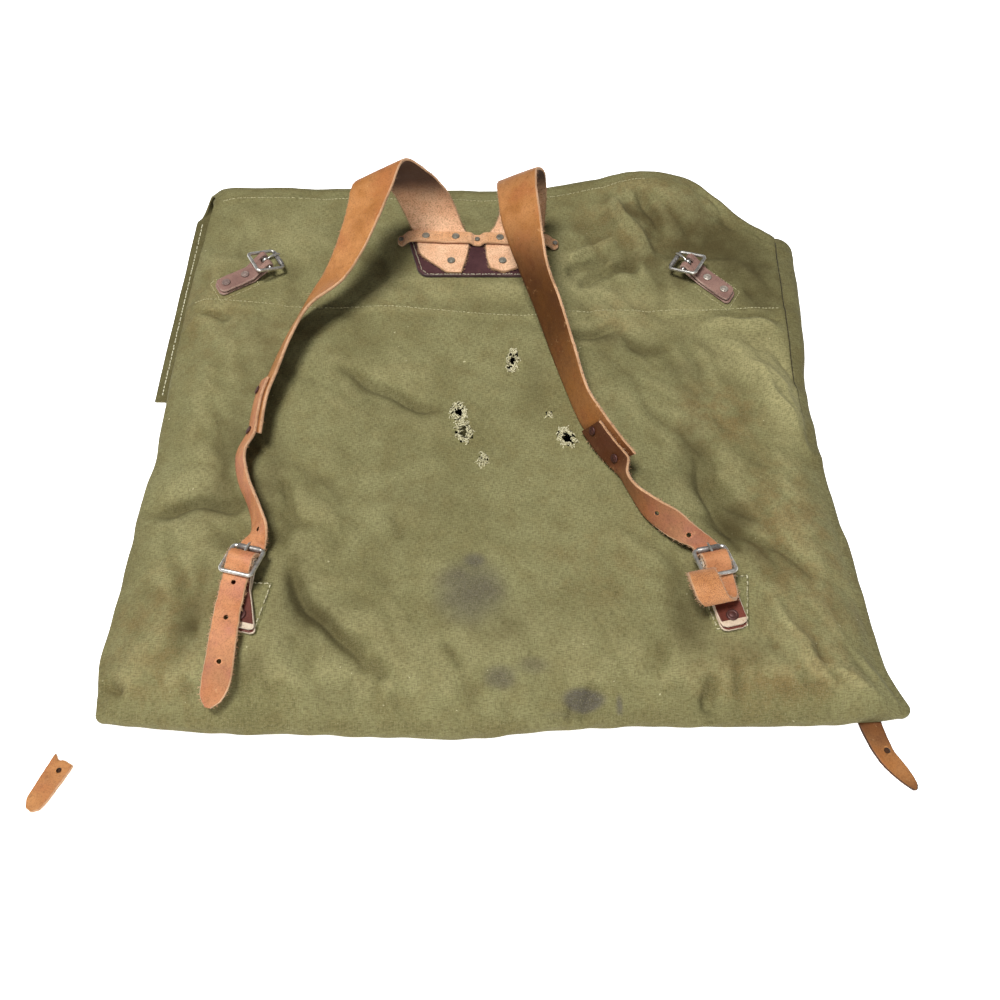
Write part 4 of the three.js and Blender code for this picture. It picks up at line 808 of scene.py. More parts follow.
rivet_pale = metal_paint("rivet_pale", "c0b7aa", "a3988c", "5c4a42", 0.45, 0.6)
stitch_thread = thread_paint("stitch_thread", "c8c298", "958e64")
# Dark line along the right seam: painted shadow of the seam's groove
seam_shadow_line = thread_paint("seam_shadow_line", "443d22", "2b2514")
fray_thread = thread_paint("fray_thread", "ece8cc", "c2bc98")
moth_thread = thread_paint("moth_thread", "dcd6b4", "857e58")
STRAP_SKINS = [tan_grain, tan_flesh, tan_edge, hole_shade_and_dark_edge]
CLOSING_SKINS = [tan_grain, tan_flesh, hole_shade_and_dark_edge, hole_shade_and_dark_edge]
TAIL_SKINS = [end_grain, suede, tan_edge, hole_shade_and_dark_edge]


# Canvas pieces
def inside_edges(u, v, sides="x", bottom="y", inset=0.0, top_gap=0.0):
    """Plan places at shares of the way across and along the bag, within its outline."""
    x = LEFT_EDGE["x"][0] + (RIGHT_EDGE["x"][0] - LEFT_EDGE["x"][0]) * u
    for _ in range(EDGE_PASSES):
        low = read(BOTTOM_EDGE, "x", bottom, x) + inset
        y = low + (read(TOP_EDGE, "x", "y", x) - top_gap - low) * v
        left = read(LEFT_EDGE, "y", sides, y) + inset
        right = read(RIGHT_EDGE, "y", sides, y) - inset
        x = left + (right - left) * u
    return x, y


def blurred(values, reach):
    """Mean over a square of the given half width in cells."""
    for axis in (0, 1):
        total = np.zeros_like(values)
        for k in range(-reach, reach + 1):
            index = np.clip(np.arange(values.shape[axis]) + k, 0, values.shape[axis] - 1)
            total += np.take(values, index, axis)
        values = total / (2 * reach + 1)
    return values


def hole_depth(x, y):
    """Below 1 inside a moth hole, with a ragged rim."""
    found = np.full(np.shape(x), 9.0)
    ragged = 1 + HOLE_RAGGED["share"] * ripple(x, y, HOLE_RAGGED["size"], seed=5)
    for hx, hy, half_x, half_y, turn, _ in zip(*MOTH_HOLES.values()):
        c, s = math.cos(math.radians(turn)), math.sin(math.radians(turn))
        dx, dy = x - hx, y - hy
        away = np.hypot((dx * c + dy * s) / half_x, (dy * c - dx * s) / half_y)
        found = np.minimum(found, away / ragged)
    return found


def wall_columns(seam):
    """Seam point, outward direction and outward reach of each column of the side walls."""
    left, right, bottom = seam[::-1, 0], seam[:, -1], seam[0]
    columns = [(left[0], 0.5 * math.pi, FLAP["fold_depth"])]
    for point in left:
        columns.append((point, math.pi, point[0] - read(LEFT_EDGE, "y", "out", point[1])))
    for point in bottom:
        columns.append((point, 1.5 * math.pi, point[1] - read(BOTTOM_EDGE, "x", "out", point[0])))
    for point in right:
        columns.append((point, 2 * math.pi, read(RIGHT_EDGE, "y", "out", point[1]) - point[0]))
    columns.append((right[-1], 2.5 * math.pi, FLAP["fold_depth"]))
    rounded = [columns[0]]
    for before, after in zip(columns, columns[1:]):
        steps = CORNER_STEPS if after[1] != before[1] else 1
        for k in range(1, steps + 1):
            t = k / steps
            turn, reach = (before[i] + (after[i] - before[i]) * t for i in (1, 2))
            rounded.append((after[0], turn, reach))
    return rounded


def seam_dirt(x, y):
    """Dark lines along the seams: across the back and down the right side."""
    across = np.exp(-((y - read(BACK_SEAM, "x", "y", x)) / SEAM_DIRT["half"]) ** 2)
    upper = smoothstep(y, *SEAM_DIRT["right_from"])
    side = np.exp(-((read(RIGHT_EDGE, "y", "x", y) - x) / SEAM_DIRT["half"]) ** 2) * upper
    return SEAM_DIRT["across"] * across + SEAM_DIRT["side"] * side


def back_layers(u, v, x, y, z):
    """Where the back is rusty and sooty, and where it is lightened or darkened: wear and painted highlight on
    ridges, seam dirt and painted shade in valleys and along turned-down edges, and spots of painted shade and
    highlight.
    """
    shape = 0.0
    # Relief of the cloth: ridges lightened and valleys darkened, painted highlight and painted shade with
    # some wear and dirt
    for cells, most, scale, rim_from, rim_to in zip(*RELIEF.values()):
        proud = np.clip(z - blurred(z, int(cells)), -most, most)
        shape = shape + proud * smoothstep(from_rim(u, v), rim_from, rim_to) / scale
    # Darker near the bottom and left edges, where the cloth turns down: painted shade
    from_edge = np.minimum(y - read(BOTTOM_EDGE, "x", "y", x), x - read(LEFT_EDGE, "y", "x", y))
    dirt_and_shade = seam_dirt(x, y) + EDGE_SHADE["amount"] * np.exp(-from_edge / EDGE_SHADE["reach"])
    return {
        "wear_and_highlight": np.clip(shape, 0, 1), "grime_and_shade": np.clip(dirt_and_shade - shape, 0, MOST_GRIME_AND_SHADE),
        "rust": spots(RUST, x, y), "soot": spots(SOOT, x, y), "shade_and_dingy": spots(SHADE_AND_DINGY, x, y, firm=1),
        "bleach_and_highlight": spots(BLEACH_AND_HIGHLIGHT, x, y, firm=1),
    }


def side_walls(seam):
    """Points, weave and painted layers of the side walls, from the seam down to the ground."""
    start, angle, reach = (np.array(part) for part in zip(*wall_columns(seam)))
    x, y, z = (start[:, k:k + 1] for k in range(3))
    t = np.linspace(0, 1, WALL_STEPS + 1)
    out, high = read(WALL, "t", "out", t), read(WALL, "t", "high", t)
    slant_x, slant_y = WALL_WAVER["slant"]
    waver = WALL_WAVER["rise"] * ripple(x + y + t * slant_x, z + t * slant_y + x, WALL_WAVER["size"], seed=11)
    outward = np.stack([np.cos(angle), np.sin(angle)], -1)[:, None]
    bulge = reach[:, None] * out + waver * np.sin(math.pi * t)
    plan = start[:, None, :2] + outward * bulge[..., None]
    height = WALL_FOOT + (z - WALL_FOOT) * high
    weave = start[:, None, :2] + outward * ((1 - high) * z)[..., None]
    plain = np.zeros(height.shape)
    grime_and_shade, more = WALL_SHADE["grime_and_shade"]
    # Painted shade: the walls darken towards the ground
    layers = {
        "wear_and_highlight": plain, "grime_and_shade": plain + grime_and_shade + more * t, "rust": plain + spots(RUST, x, y), "soot": plain,
        "shade_and_dingy": plain + WALL_SHADE["shade_and_dingy"] * t, "bleach_and_highlight": plain,
    }
    return np.concatenate([plan, height[..., None]], -1), weave, layers


def canvas_body():
    """Back panel and side walls in one skin, with the moth holes left out."""
    u, v = share_grid(*BACK_GRID)
    x, y = inside_edges(u, v)
    z = cloth_top(x, y)
    seam = np.stack([x, y, z], -1)
    solid = (hole_depth(x, y) > 1).ravel()
    faces = [face for face in grid_faces(*x.shape) if solid[face].all()]
    wall, fall, wall_layers = side_walls(seam)
    skin = joined([(seam, faces), (wall, grid_faces(*wall.shape[:2]))])
    weave = np.vstack([seam[..., :2].reshape(-1, 2), fall.reshape(-1, 2)])
    layers = {
        name: np.concatenate([values.ravel(), wall_layers[name].ravel()])
        for name, values in back_layers(u, v, x, y, z).items()
    }
    body = make_piece(
        "canvas_body", skin, [canvas], layers=layers, weave=weave,
        stands_for=("back_panel", "gusset_left", "gusset_right", "gusset_bottom"),
    )
    tidy_mesh(body, merge=0.02)
    return body


def thicken(obj, thickness):
    solid = obj.modifiers.new("thickness", "SOLIDIFY")
    solid.thickness = thickness * MM
    solid.offset = -1


def plain_layers(count, grime_and_shade, rust=0.0, shade_and_dingy=0.0):
    values = {"wear_and_highlight": 0.0, "grime_and_shade": grime_and_shade, "soot": 0.0, "rust": rust, "shade_and_dingy": shade_and_dingy}
    return {name: value * np.ones(count) for name, value in values.items()}


def canvas_flap():
    """The flap folds over the top edge and lies under the bag, its hemmed left side standing out."""
    u = np.linspace(0, 1, BACK_GRID[0])
    x, y = inside_edges(u, np.ones_like(u))
    seam_z = cloth_top(x, y)
    floor_x = FLAP["left"] + (FLAP["right"] - FLAP["left"]) * u
    floor_y = y + FLAP["fold_run"]
    hem_start = FLAP["hem"] - FLAP["hem_fade"]
    hem = FLAP["hem_rise"] * (1 - smoothstep(floor_x - FLAP["left"], hem_start, FLAP["hem"]))
    rows = []
    for t in np.linspace(0, 1, FLAP_STEPS["fold"] + 1):
        bulge = FLAP["fold_depth"] * math.sin(math.pi * t)
        height = FLAP["under"] + (seam_z - FLAP["under"]) * 0.5 * (1 + math.cos(math.pi * t))
        rows.append(np.stack([x + (floor_x - x) * t, y + (floor_y - y) * t + bulge, height], -1))
    for t in np.linspace(0, 1, FLAP_STEPS["floor"] + 1)[1:]:
        wave = ripple(floor_x, floor_y - t * FLAP_WAVE["run"], FLAP_WAVE["size"], seed=3)
        waver = ripple(floor_x * 0, floor_y - t * FLAP_EDGE_WAVE["run"], FLAP_EDGE_WAVE["size"], seed=4)
        level = FLAP["under"] + FLAP_WAVE["rise"] * wave
        edge = FLAP_EDGE_WAVE["rise"] * waver * (u < FLAP["edge"])
        rows.append(np.stack([floor_x + edge, floor_y + (FLAP["hem_y"] - floor_y) * t, level + hem], -1))
    points = np.array(rows)
    weave = np.stack([points[..., 0], y + run_length(points)], -1)
    # Painted shade: darker where the flap lies low under the bag
    shade_and_dingy = FLAP["shade_and_dingy"] * (1 - smoothstep(points[..., 2], *FLAP["shade_below"]))
    rust = spots(RUST, points[..., 0], points[..., 1])
    flap = make_piece(
        "canvas_flap", (points, grid_faces(*points.shape[:2])), [canvas], weave=weave,
        layers=plain_layers(shade_and_dingy.size, FLAP["grime_and_shade"], rust.ravel(), shade_and_dingy.ravel()), stands_for=("flap",),
    )
    thicken(flap, FLAP["thickness"])
    return flap


def canvas_front():
    """The front panel, under the bag, plain because nothing of it shows."""
    u, v = share_grid(*FRONT_GRID)
    x, y = inside_edges(u, v, "out", "out", FRONT["inset"], FRONT["top_gap"])
    lift = np.maximum(FRONT["over_flap"] * smoothstep(y, *FRONT["ramp"]), FRONT["least"])
    wave = FRONT["wave"] * ripple(x, y, FRONT["wave_size"], seed=9)
    points = np.stack([x, y, lift + CANVAS + wave], -1)
    front = make_piece(
        "canvas_front", (points, grid_faces(*x.shape)), [canvas], weave=points[..., :2],
        layers=plain_layers(x.size, FRONT["grime_and_shade"]), stands_for=("front_panel",),
    )
    thicken(front, FRONT["thickness"])
    return front


PATCHES = {
    "lower_left": [(-174, -158), (-166, -197), (-146, -197), (-139, -160)],
    "lower_right": [(120, -157), (129, -196), (150, -194), (155, -154)],
}


def canvas_patch(side):
    """Cloth patch sewn under a lower tab, its turned edge rounded."""
    a, b, c, d = (np.array(p, float) for p in PATCHES[side])
    u, v = (g[..., None] for g in share_grid(*PATCH_GRID))
    plan = (a * (1 - u) + d * u) * (1 - v) + (b * (1 - u) + c * u) * v
    rounded = np.sqrt(np.clip(from_rim(u, v)[..., 0] / PATCH["rounded"], 0, 1))
    z = PATCH_PAD_Z - PATCH["sunk"] + PATCH["proud"] * rounded
    z = z + PATCH["wave"] * ripple(plan[..., 0], plan[..., 1], PATCH["wave_size"], seed=2)
    points = np.concatenate([plan, z[..., None]], -1)
    patch = make_piece(
        "canvas_patch_" + side, (points, grid_faces(*z.shape)), [canvas], weave=plan,
        layers=plain_layers(z.size, PATCH["grime_and_shade"]), stands_for=("patch_" + side,),
    )
    tidy_mesh(patch)
    return patch


body_piece = canvas_body()
flap_piece = canvas_flap()
front_piece = canvas_front()
patch_pieces = [canvas_patch(side) for side in PATCHES]


# Leather ribbons. A row has the low and the high edge; the grain side faces run x (high - low).
REST_CLEAR = 1.9
STRAP_OVER_YOKE = 0.5
STRAP_END_Z = YOKE_PAD_Z + GAP + YOKE + STRAP_OVER_YOKE + STRAP / 2
TURN_UP_Z = STRAP_END_Z + 2.5


def rest(x, y):
    """Edge of a strap that lies on the cloth."""
    return (x, y, float(back_top(x, y)) + REST_CLEAR)


def sewn(x, y):
    """Edge of a strap end that is sewn down on the yoke."""
    return (x, y, STRAP_END_Z)


LEFT_STRAP = [
    (sewn(-41, 103), sewn(-29, 102.4)), (sewn(-49, 110.5), sewn(-27.4, 110.5)),
    (sewn(-56.5, 117.5), sewn(-25.8, 117.5)), (sewn(-60.5, 122), sewn(-24.8, 122)),
    (sewn(-63, 130), sewn(-24, 130)), (sewn(-65, 140), sewn(-25, 140)), (sewn(-67, 146), sewn(-27, 147)),
    ((-69, 149.5, TURN_UP_Z), (-29, 150.5, TURN_UP_Z)), ((-74, 153, 55), (-34, 156, 56)),
    ((-82, 154, 74), (-40, 154, 74)), ((-94, 147, 91), (-52, 150, 94)), ((-106, 134, 96), (-68, 143, 111)),
    ((-111, 115, 86), (-77, 118, 106)), ((-119, 93, 72), (-86, 94, 98)), ((-128, 82, 58), (-97, 79, 83)),
    ((-138, 74, 46), (-112, 67, 67)), (rest(-149, 60), (-134, 48, 62)), (rest(-156, 37), (-145, 21, 59)),
    (rest(-163, 7), (-152, -7, 55)), (rest(-167, -13), (-157, -27, 52)), (rest(-168, -44), (-158, -58, 50)),
]
RIGHT_STRAP = [
    (sewn(0.6, 103.4), sewn(4, 103.2)), (sewn(-7, 107), sewn(13, 107)), (sewn(-9, 113), sewn(22, 113)),
    (sewn(-11, 130), sewn(28, 130)), (sewn(-9, 140), sewn(31, 140)), (sewn(-7, 147), sewn(33, 146)),
    ((-4, 150.5, TURN_UP_Z), (34, 149.5, TURN_UP_Z)), ((0, 155, 54), (35, 153, 56)),
    ((1, 157, 72), (34.5, 155, 80)), ((-0.5, 151, 84), (32, 147, 98)), ((-2, 143, 88), (26.5, 136, 108)),
    ((-1, 130, 87), (26, 118, 107)), ((1, 116, 80), (28, 98, 103)), ((6, 100, 73), (30, 78, 97)),
    ((14, 83, 62), (33, 61, 88)), ((25, 59, 48), (42, 40, 74)), (rest(38, 24), (51, 8, 63)),
    (rest(48, -12), (59, -26, 58)), (rest(55, -35), (67, -43, 57)), (rest(65, -57), (79, -63, 54)),
    (rest(74, -71), (88, -77, 53)),
]
LEFT_TAIL_RUN = [
    (rest(-176, -62), (-166, -72, 50)), (rest(-172, -84), (-161, -93, 51)),
    (rest(-162, -106), (-151, -115, 50)), (rest(-158, -124), (-145, -130, 48)),
]
RIGHT_TAIL_RUN = [
    (rest(79, -80), (82, -89, 50)), (rest(85, -94), (86, -100, 52)), (rest(93, -112), (97, -110, 52)),
    ((103.5, -125.5, 34.8), (112, -117, 47)), ((112, -133.5, 36.6), (123, -126.5, 43.5)),
]
# Through the buckle and past it: along the tab, middle across, half width and height above the cloth
THREAD_ROWS = [
    (-15.5, 0, 8, 4.4), (-11, 0, 8, 5.1), (-8.2, 0, 8, 6.1), (-6.7, 0, 8, 8.8), (-5.3, 0, 8, 12.2),
    (-3.4, 0, 8, 14.7), (-1, 0, 8, 15.8), (1.4, 0, 8, 15.7), (4.2, 0, 8, 14.4), (7.4, 0, 8, 12.4),
    (11, 0, 8, 10.4),
]
LEFT_END_ROWS = [
    (17, 0.6, 8, 8.8), (26, 2, 8, 8), (38, 4.5, 8.2, 7.8), (50, 7, 8.5, 6.4), (62, 9.2, 8.7, 2.6),
    (75, 10.4, 8.6, -2.6), (83, 10, 6.5, -6.4), (88, 9.5, 1.8, -9),
]
CURL_ROWS = [
    (16, -0.2, 8, 8.2), (20.4, -0.9, 8.3, 7.8), (25.6, -3.3, 9, 9.5), (29, -7.3, 9.4, 13.5),
    (28.8, -11.2, 9.2, 18), (26.1, -13.4, 9, 21.5), (22.4, -14.4, 8.9, 24), (17.9, -14.8, 8.8, 25),
    (13.7, -14.8, 8.4, 24.3), (10.6, -14.4, 8.1, 21.8), (9.9, -14, 7.8, 18.6), (12.4, -13.6, 7.6, 16),
    (16.4, -13.2, 7.4, 14.6), (20.6, -12.8, 7.2, 15.6),
]
CLOSING_ROWS = [
    ((197, 4, 1), (213, 4, 1)), ((203, -100, 1), (219, -100, 1)), ((211, -200, 1), (227, -200, 1)),
    ((215, -240, 1), (229, -240, 1)), ((220, -257, 1), (233, -257, 1)), ((226, -268, 1), (239, -268, 1)),
    ((232, -274.5, 1), (241.6, -274.5, 1)), ((237, -279, 1), (242, -279, 1)),
    ((239, -280.4, 1), (241.2, -280.4, 1)),
]
CLOSING_SHADE = table("t shade", (0, 0.7), (0.84, 0.8), (0.9, 0.55), (0.95, 0.4), (1, 0.65))
CLOSING_HOLE = (228.5, -257, 1)
SPLICE = {"stations": 6, "share": 0.82, "clear": 0.6}
SPLICE_RIVET_RADIUS = 3
COARSE = {"strap": 3, "tail": 2}
FINE_STEPS = 10
ACROSS_STEPS = 12
RIBBON = {"bevel": 0.5, "belly": 0.25, "waver": 0.35}
RAGGED = {"apart": 50, "size": 7, "fine_size": 2.2, "fine": 0.6, "fine_seed": 9}
STRAP_CUP = 0.5

# How dark each strap is along its run, from the yoke to its lower end: partly the leather's own darker
# stretches, partly painted shade
LEFT_SHADE = table("t shade", (0, 0.0), (0.3, 0.55), (0.42, 0.2), (0.55, 0.1), (0.8, 0.12), (1, 0.25))
RIGHT_SHADE = table("t shade", (0, 0.0), (0.3, 0.5), (0.4, 0.15), (0.46, 0.4), (0.54, 0.8), (0.64, 0.9),
                    (0.74, 0.65), (0.86, 0.5), (0.94, 0.7), (1, 1.0))
# Flesh side of the shoulder straps: painted shadow under the arch of the loop
INNER_SHADE = table("t shade", (0, 0.0), (0.15, 0.0), (0.19, 0.15), (0.23, 0.5), (0.27, 0.9), (0.32, 1.2),
                    (0.4, 1.2), (1, 0.6))
LEFT_TAIL_SHADE = table("t shade", (0, 0.3), (0.3, 0.2), (0.5, 0.12), (0.8, 0.2), (0.9, 0.45), (1, 0.4))
# Its last rows are painted shade inside the curl
RIGHT_TAIL_SHADE = table("t shade", (0, 1.2), (0.12, 1.15), (0.2, 0.65), (0.35, 0.6), (0.5, 0.5), (0.58, 0.2),
                         (0.7, 0.3), (0.8, 0.3), (0.88, 0.9), (1, 1.0))
PLAIN_SHADE = table("t shade", (0, 0.0), (1, 0.0))

# Each side's strap, the tail spliced to it, the rows of its holes and rivets, and its noise seeds
SIDES = {
    "left": {
        "strap": LEFT_STRAP, "straight": 3, "shade": LEFT_SHADE, "run": LEFT_TAIL_RUN, "end": LEFT_END_ROWS,
        "tail_shade": LEFT_TAIL_SHADE, "holes": [9, 20.7, 23, 25.1], "rivets": [1.5, 5],
        "rivets_across": 0.28, "strap_seed": 1, "tail_seed": 3,
    },
    "right": {
        "strap": RIGHT_STRAP, "straight": 2, "shade": RIGHT_SHADE, "run": RIGHT_TAIL_RUN, "end": CURL_ROWS,
        "tail_shade": RIGHT_TAIL_SHADE, "holes": [8.4, 10.1], "rivets": [0.5, 4.5], "rivets_across": 0.5,
        "strap_seed": 2, "tail_seed": 4,
    },
}


def stations(rows, steps, straight=0):
    """Fine low and high edges of a strip, and the direction that its grain side faces."""
    low, high = (spline([row[k] for row in rows], steps, straight) for k in (0, 1))
    return low, high, unit(np.cross(unit(spread((low + high) / 2)), high - low))


def ragged_edge(run, place, seed):
    """Uneven line of a cut edge along its run."""
    across = run * 0 + RAGGED["apart"] * place
    fine = ripple(run, across, RAGGED["fine_size"], seed + RAGGED["fine_seed"])
    return ripple(run, across, RAGGED["size"], seed) + RAGGED["fine"] * fine


def ribbon(low, high, grain, thickness, cup=0.0, seed=0):
    """Closed strip with rounded edges. Its faces come in kinds: 0 grain side, 1 flesh side, 2 cut edge."""
    width = np.linalg.norm(high - low, axis=-1)[:, None, None]
    side = unit(high - low)[:, None]
    half, bevel, belly = thickness / 2, RIBBON["bevel"], RIBBON["belly"]
    share = np.linspace(0, 1, ACROSS_STEPS + 1)
    inset = np.zeros(ACROSS_STEPS + 1)
    inset[0], inset[-1] = bevel, -bevel
    flat = np.full(ACROSS_STEPS + 1, half)
    step = [half - bevel, 0, bevel - half]
    across = np.concatenate([share, [1, 1, 1], share[::-1], [0, 0, 0]])
    aside = np.concatenate([inset, [0, belly, 0], inset[::-1], [0, -belly, 0]])
    above = np.concatenate([flat, step, -flat, step[::-1]]) + cup * (1 - (2 * across - 1) ** 2)
    run = run_length((low + high) / 2)
    ragged = RIBBON["waver"] * np.stack([ragged_edge(run, k, seed) for k in (0, 1)], -1)
    slide = ragged[:, :1] * (1 - across) - ragged[:, 1:] * across
    points = low[:, None] + side * (across[None, :, None] * width + (aside + slide)[..., None])
    points = points + grain[:, None] * above[None, :, None]
    ring = len(across)
    kind = np.array([0] * ACROSS_STEPS + [2] * 4 + [1] * ACROSS_STEPS + [2] * 4)
    kinds = np.concatenate([np.tile(kind, len(low) - 1), [2, 2]])
    return (points.reshape(-1, 3), ring_faces(len(low), ring)), kinds, np.repeat(run, ring)


def leather_strip(name, rows, thickness, skins, node, shade=PLAIN_SHADE, inner=None, cup=0.0, seed=0,
                  straight=0, skived=0):
    """A strip along rows or finished stations; shade darkens it along its run, inner its flesh side."""
    low, high, grain = rows if isinstance(rows, tuple) else stations(rows, FINE_STEPS, straight)
    shape, kinds, run = ribbon(low, high, grain, thickness, cup, seed)
    ring = len(run) // len(low)
    kinds[:skived * ring] = 2
    dark = read(shade, "t", "shade", run / run[-1])
    if inner is not None:
        place = np.arange(len(run)) % ring
        on_flesh = (place > ACROSS_STEPS + 3) & (place < 2 * ACROSS_STEPS + 5)
        dark = np.where(on_flesh, read(inner, "t", "shade", run / run[-1]), dark)
    piece = make_piece(name, shape, skins, kinds=kinds, layers={"shade": dark}, stands_for=(node,))
    tidy_mesh(piece)
    return piece


def buckle_matrix(buckle):
    return shift_matrix(buckle["x"], buckle["y"], buckle["floor"]) @ turn_matrix("z", buckle["heading"])


def bar_matrix(buckle):
    return buckle_matrix(buckle) @ shift_matrix(0, 0, buckle["bar"]) @ turn_matrix("y", -buckle["tilt"])


def buckle_rows(side, rows):
    ends = [np.array([[a, b - half, z], [a, b + half, z]]) for a, b, half, z in rows]
    return [tuple(placed(pair, buckle_matrix(BUCKLES[side]))) for pair in ends]


def splice_rows(strap):
    low, high, grain = (part[-SPLICE["stations"]:] for part in stations(strap, COARSE["strap"]))
    away = STRAP / 2 + SPLICE["clear"] + TAIL / 2
    return list(zip(low + grain * away, low + (high - low) * SPLICE["share"] + grain * away))


def prong_path(buckle):
    over = buckle["roller"] + GAP + PRONG["wire"]
    root = PRONG["root"] * (buckle["wire"] + PRONG_RING["inner"] + PRONG_RING["wall"] / 2)
    return [
        (-root, 0, root), (-PRONG["knee_back"], 0, over * PRONG["knee_high"]), (-buckle["reach"], 0, over),
        (-buckle["reach"] - PRONG["past"], 0, over - PRONG["dip"]),
    ]


def prong_room(buckle):
    """Cutter that leaves room for the prong."""
    room = tube(spline(prong_path(buckle)[:3], 4), PRONG["wire"] + PRONG["room"], ROUND["prong"])
    return moved(room, bar_matrix(buckle))


def punched(parts, row):
    """Cutter square to a strip at a fractional row of its fine stations."""
    low, high, grain = (part[int(round(row * FINE_STEPS))] for part in parts)
    return drill(low + (high - low) * 0.5, grain, HOLE_RADIUS["tail"])


def tail_rows(side):
    rows = splice_rows(SIDES[side]["strap"]) + SIDES[side]["run"]
    return rows + buckle_rows("lower_" + side, THREAD_ROWS + SIDES[side]["end"])


for side, strap in SIDES.items():
    leather_strip("strap_" + side, strap["strap"], STRAP, STRAP_SKINS,
                  "shoulder_strap_" + side, strap["shade"], INNER_SHADE, STRAP_CUP, strap["strap_seed"],
                  strap["straight"])
TAILS = {side: tail_rows(side) for side in SIDES}
for side, rows in TAILS.items():
    tail = leather_strip("tail_" + side, rows, TAIL, TAIL_SKINS, "strap_tail_" + side,
                         SIDES[side]["tail_shade"], PLAIN_SHADE, seed=SIDES[side]["tail_seed"])
    parts = stations(rows, FINE_STEPS)
    holes = [punched(parts, row) for row in SIDES[side]["holes"]]
    # The hole walls take the dark painted-shade material
    cut_out(tail, holes + [prong_room(BUCKLES["lower_" + side])], 3)

closing = leather_strip("closing_strap", CLOSING_ROWS, TAIL, CLOSING_SKINS,
                        "closing_strap_right", CLOSING_SHADE, seed=5)
# A blind hole whose thin floor shows the dark painted shade
cut_out(closing, [drill(np.array(CLOSING_HOLE), UP, HOLE_RADIUS["closing"], below=0.5)], 3)


# Flat leather: an outline with rounded corners, domed a little and with a soft rim
TORN_OUTLINE = [
    (-262, -258), (-259.5, -263), (-256, -262.5), (-250, -266), (-255, -277), (-260, -287), (-263.5, -292),
    (-268, -293.5), (-272, -290.5), (-272.5, -285), (-268, -273),
]
TORN_HOLE = (-257.5, -269, 1)
YOKE_OUTLINE = [(-71, 141), (36, 141), (26, 106), (21, 101), (-57, 101), (-62, 106)]
PLATE = {"wobble": 0.25, "bevel": 0.45, "belly": 0.2, "rough": 0.15, "rings": 10, "wobble_size": 3,
         "rough_size": 6}


def rounded_outline(corners, step, passes=2):
    points = []
    for a, b in zip(corners, corners[1:] + corners[:1]):
        a, b = np.array(a, float), np.array(b, float)
        count = max(int(np.linalg.norm(b - a) / step), 1)
        points += [a + (b - a) * k / count for k in range(count)]
    points = np.array(points)
    for _ in range(passes):
        points = 0.5 * points + 0.25 * (np.roll(points, 1, 0) + np.roll(points, -1, 0))
    return points


def leather_plate(name, corners, bottom, thickness, skins, node, step=1.5):
    """Flat piece of leather; its faces come in kinds: 0 top, 1 underside, 2 cut edge."""
    outline = rounded_outline(corners, step)
    wobble = [ripple(*outline.T, PLATE["wobble_size"], seed) for seed in (1, 2)]
    outline = outline + PLATE["wobble"] * np.stack(wobble, -1)
    centre = outline.mean(0)
    outward = unit(outline - centre)
    top, rings = bottom + thickness, PLATE["rings"]
    shares = np.arange(1, rings + 1) / rings
    upper = outline - outward * PLATE["bevel"]
    levels = [(centre + (outline - centre) * share, bottom) for share in shares]
    levels += [(outline + outward * PLATE["belly"], bottom + thickness / 2), (outline, top - PLATE["bevel"])]
    levels += [(centre + (upper - centre) * share, top) for share in shares[::-1]]
    layers = []
    for plan, z in levels:
        lift = PLATE["rough"] * ripple(*plan.T, PLATE["rough_size"], seed=3) * (z >= top)
        layers.append(np.column_stack([plan, z + lift]))
    count = len(outline)
    kind = [1] * (rings - 1) + [2] * 3 + [0] * (rings - 1)
    kinds = np.concatenate([np.repeat(kind, count), [1, 0]])
    points = np.vstack(layers)
    piece = make_piece(name, (points, ring_faces(len(layers), count)), skins, kinds=kinds,
                       stands_for=(node,), layers={"shade": np.zeros(len(points))})
    tidy_mesh(piece)
    return piece


leather_plate("yoke_leather", YOKE_OUTLINE, YOKE_PAD_Z + GAP, YOKE, [plum, plum, plum_edge],
              "yoke_patch")
torn = leather_plate("torn_tip", TORN_OUTLINE, 0, TAIL, STRAP_SKINS, "torn_strap_tip",
                     step=0.8)
# A blind hole whose thin floor shows the dark painted shade
cut_out(torn, [drill(np.array(TORN_HOLE), UP, HOLE_RADIUS["torn"], below=0.5)], 3)

# The riveted band across the strap ends
BAND_LOW = YOKE_PAD_Z + GAP
BAND_MID = BAND_LOW + YOKE + GAP
BAND_HIGH = STRAP_END_Z + STRAP / 2 + 0.4
BAND_WIDTH = 11.5
BAND_Y = 137.3
BAND_TILT = -0.035
BAND_CENTRE_X = -17
BAND_ROWS = [
    (-79, BAND_LOW + 0.3), (-75, BAND_LOW + 0.5), (-72, BAND_MID + 1), (-69, BAND_HIGH), (-46, BAND_HIGH),
    (-23.2, BAND_HIGH), (-21.4, BAND_HIGH - 1.2), (-20, BAND_MID + 0.4), (-15, BAND_MID + 0.4),
    (-13.6, BAND_HIGH - 1.2), (-11.8, BAND_HIGH), (11, BAND_HIGH), (35, BAND_HIGH), (38, BAND_MID + 1),
    (41, BAND_LOW + 0.5), (45, BAND_LOW + 0.3),
]
BAND_ROUND = 4
BAND_NARROWED = 3.5
BAND_STEPS = 6


def round_off(from_end, radius):
    """How much narrower a strip gets towards an end rounded with the given radius."""
    return radius - np.sqrt(radius ** 2 - np.clip(radius - from_end, 0, radius) ** 2)


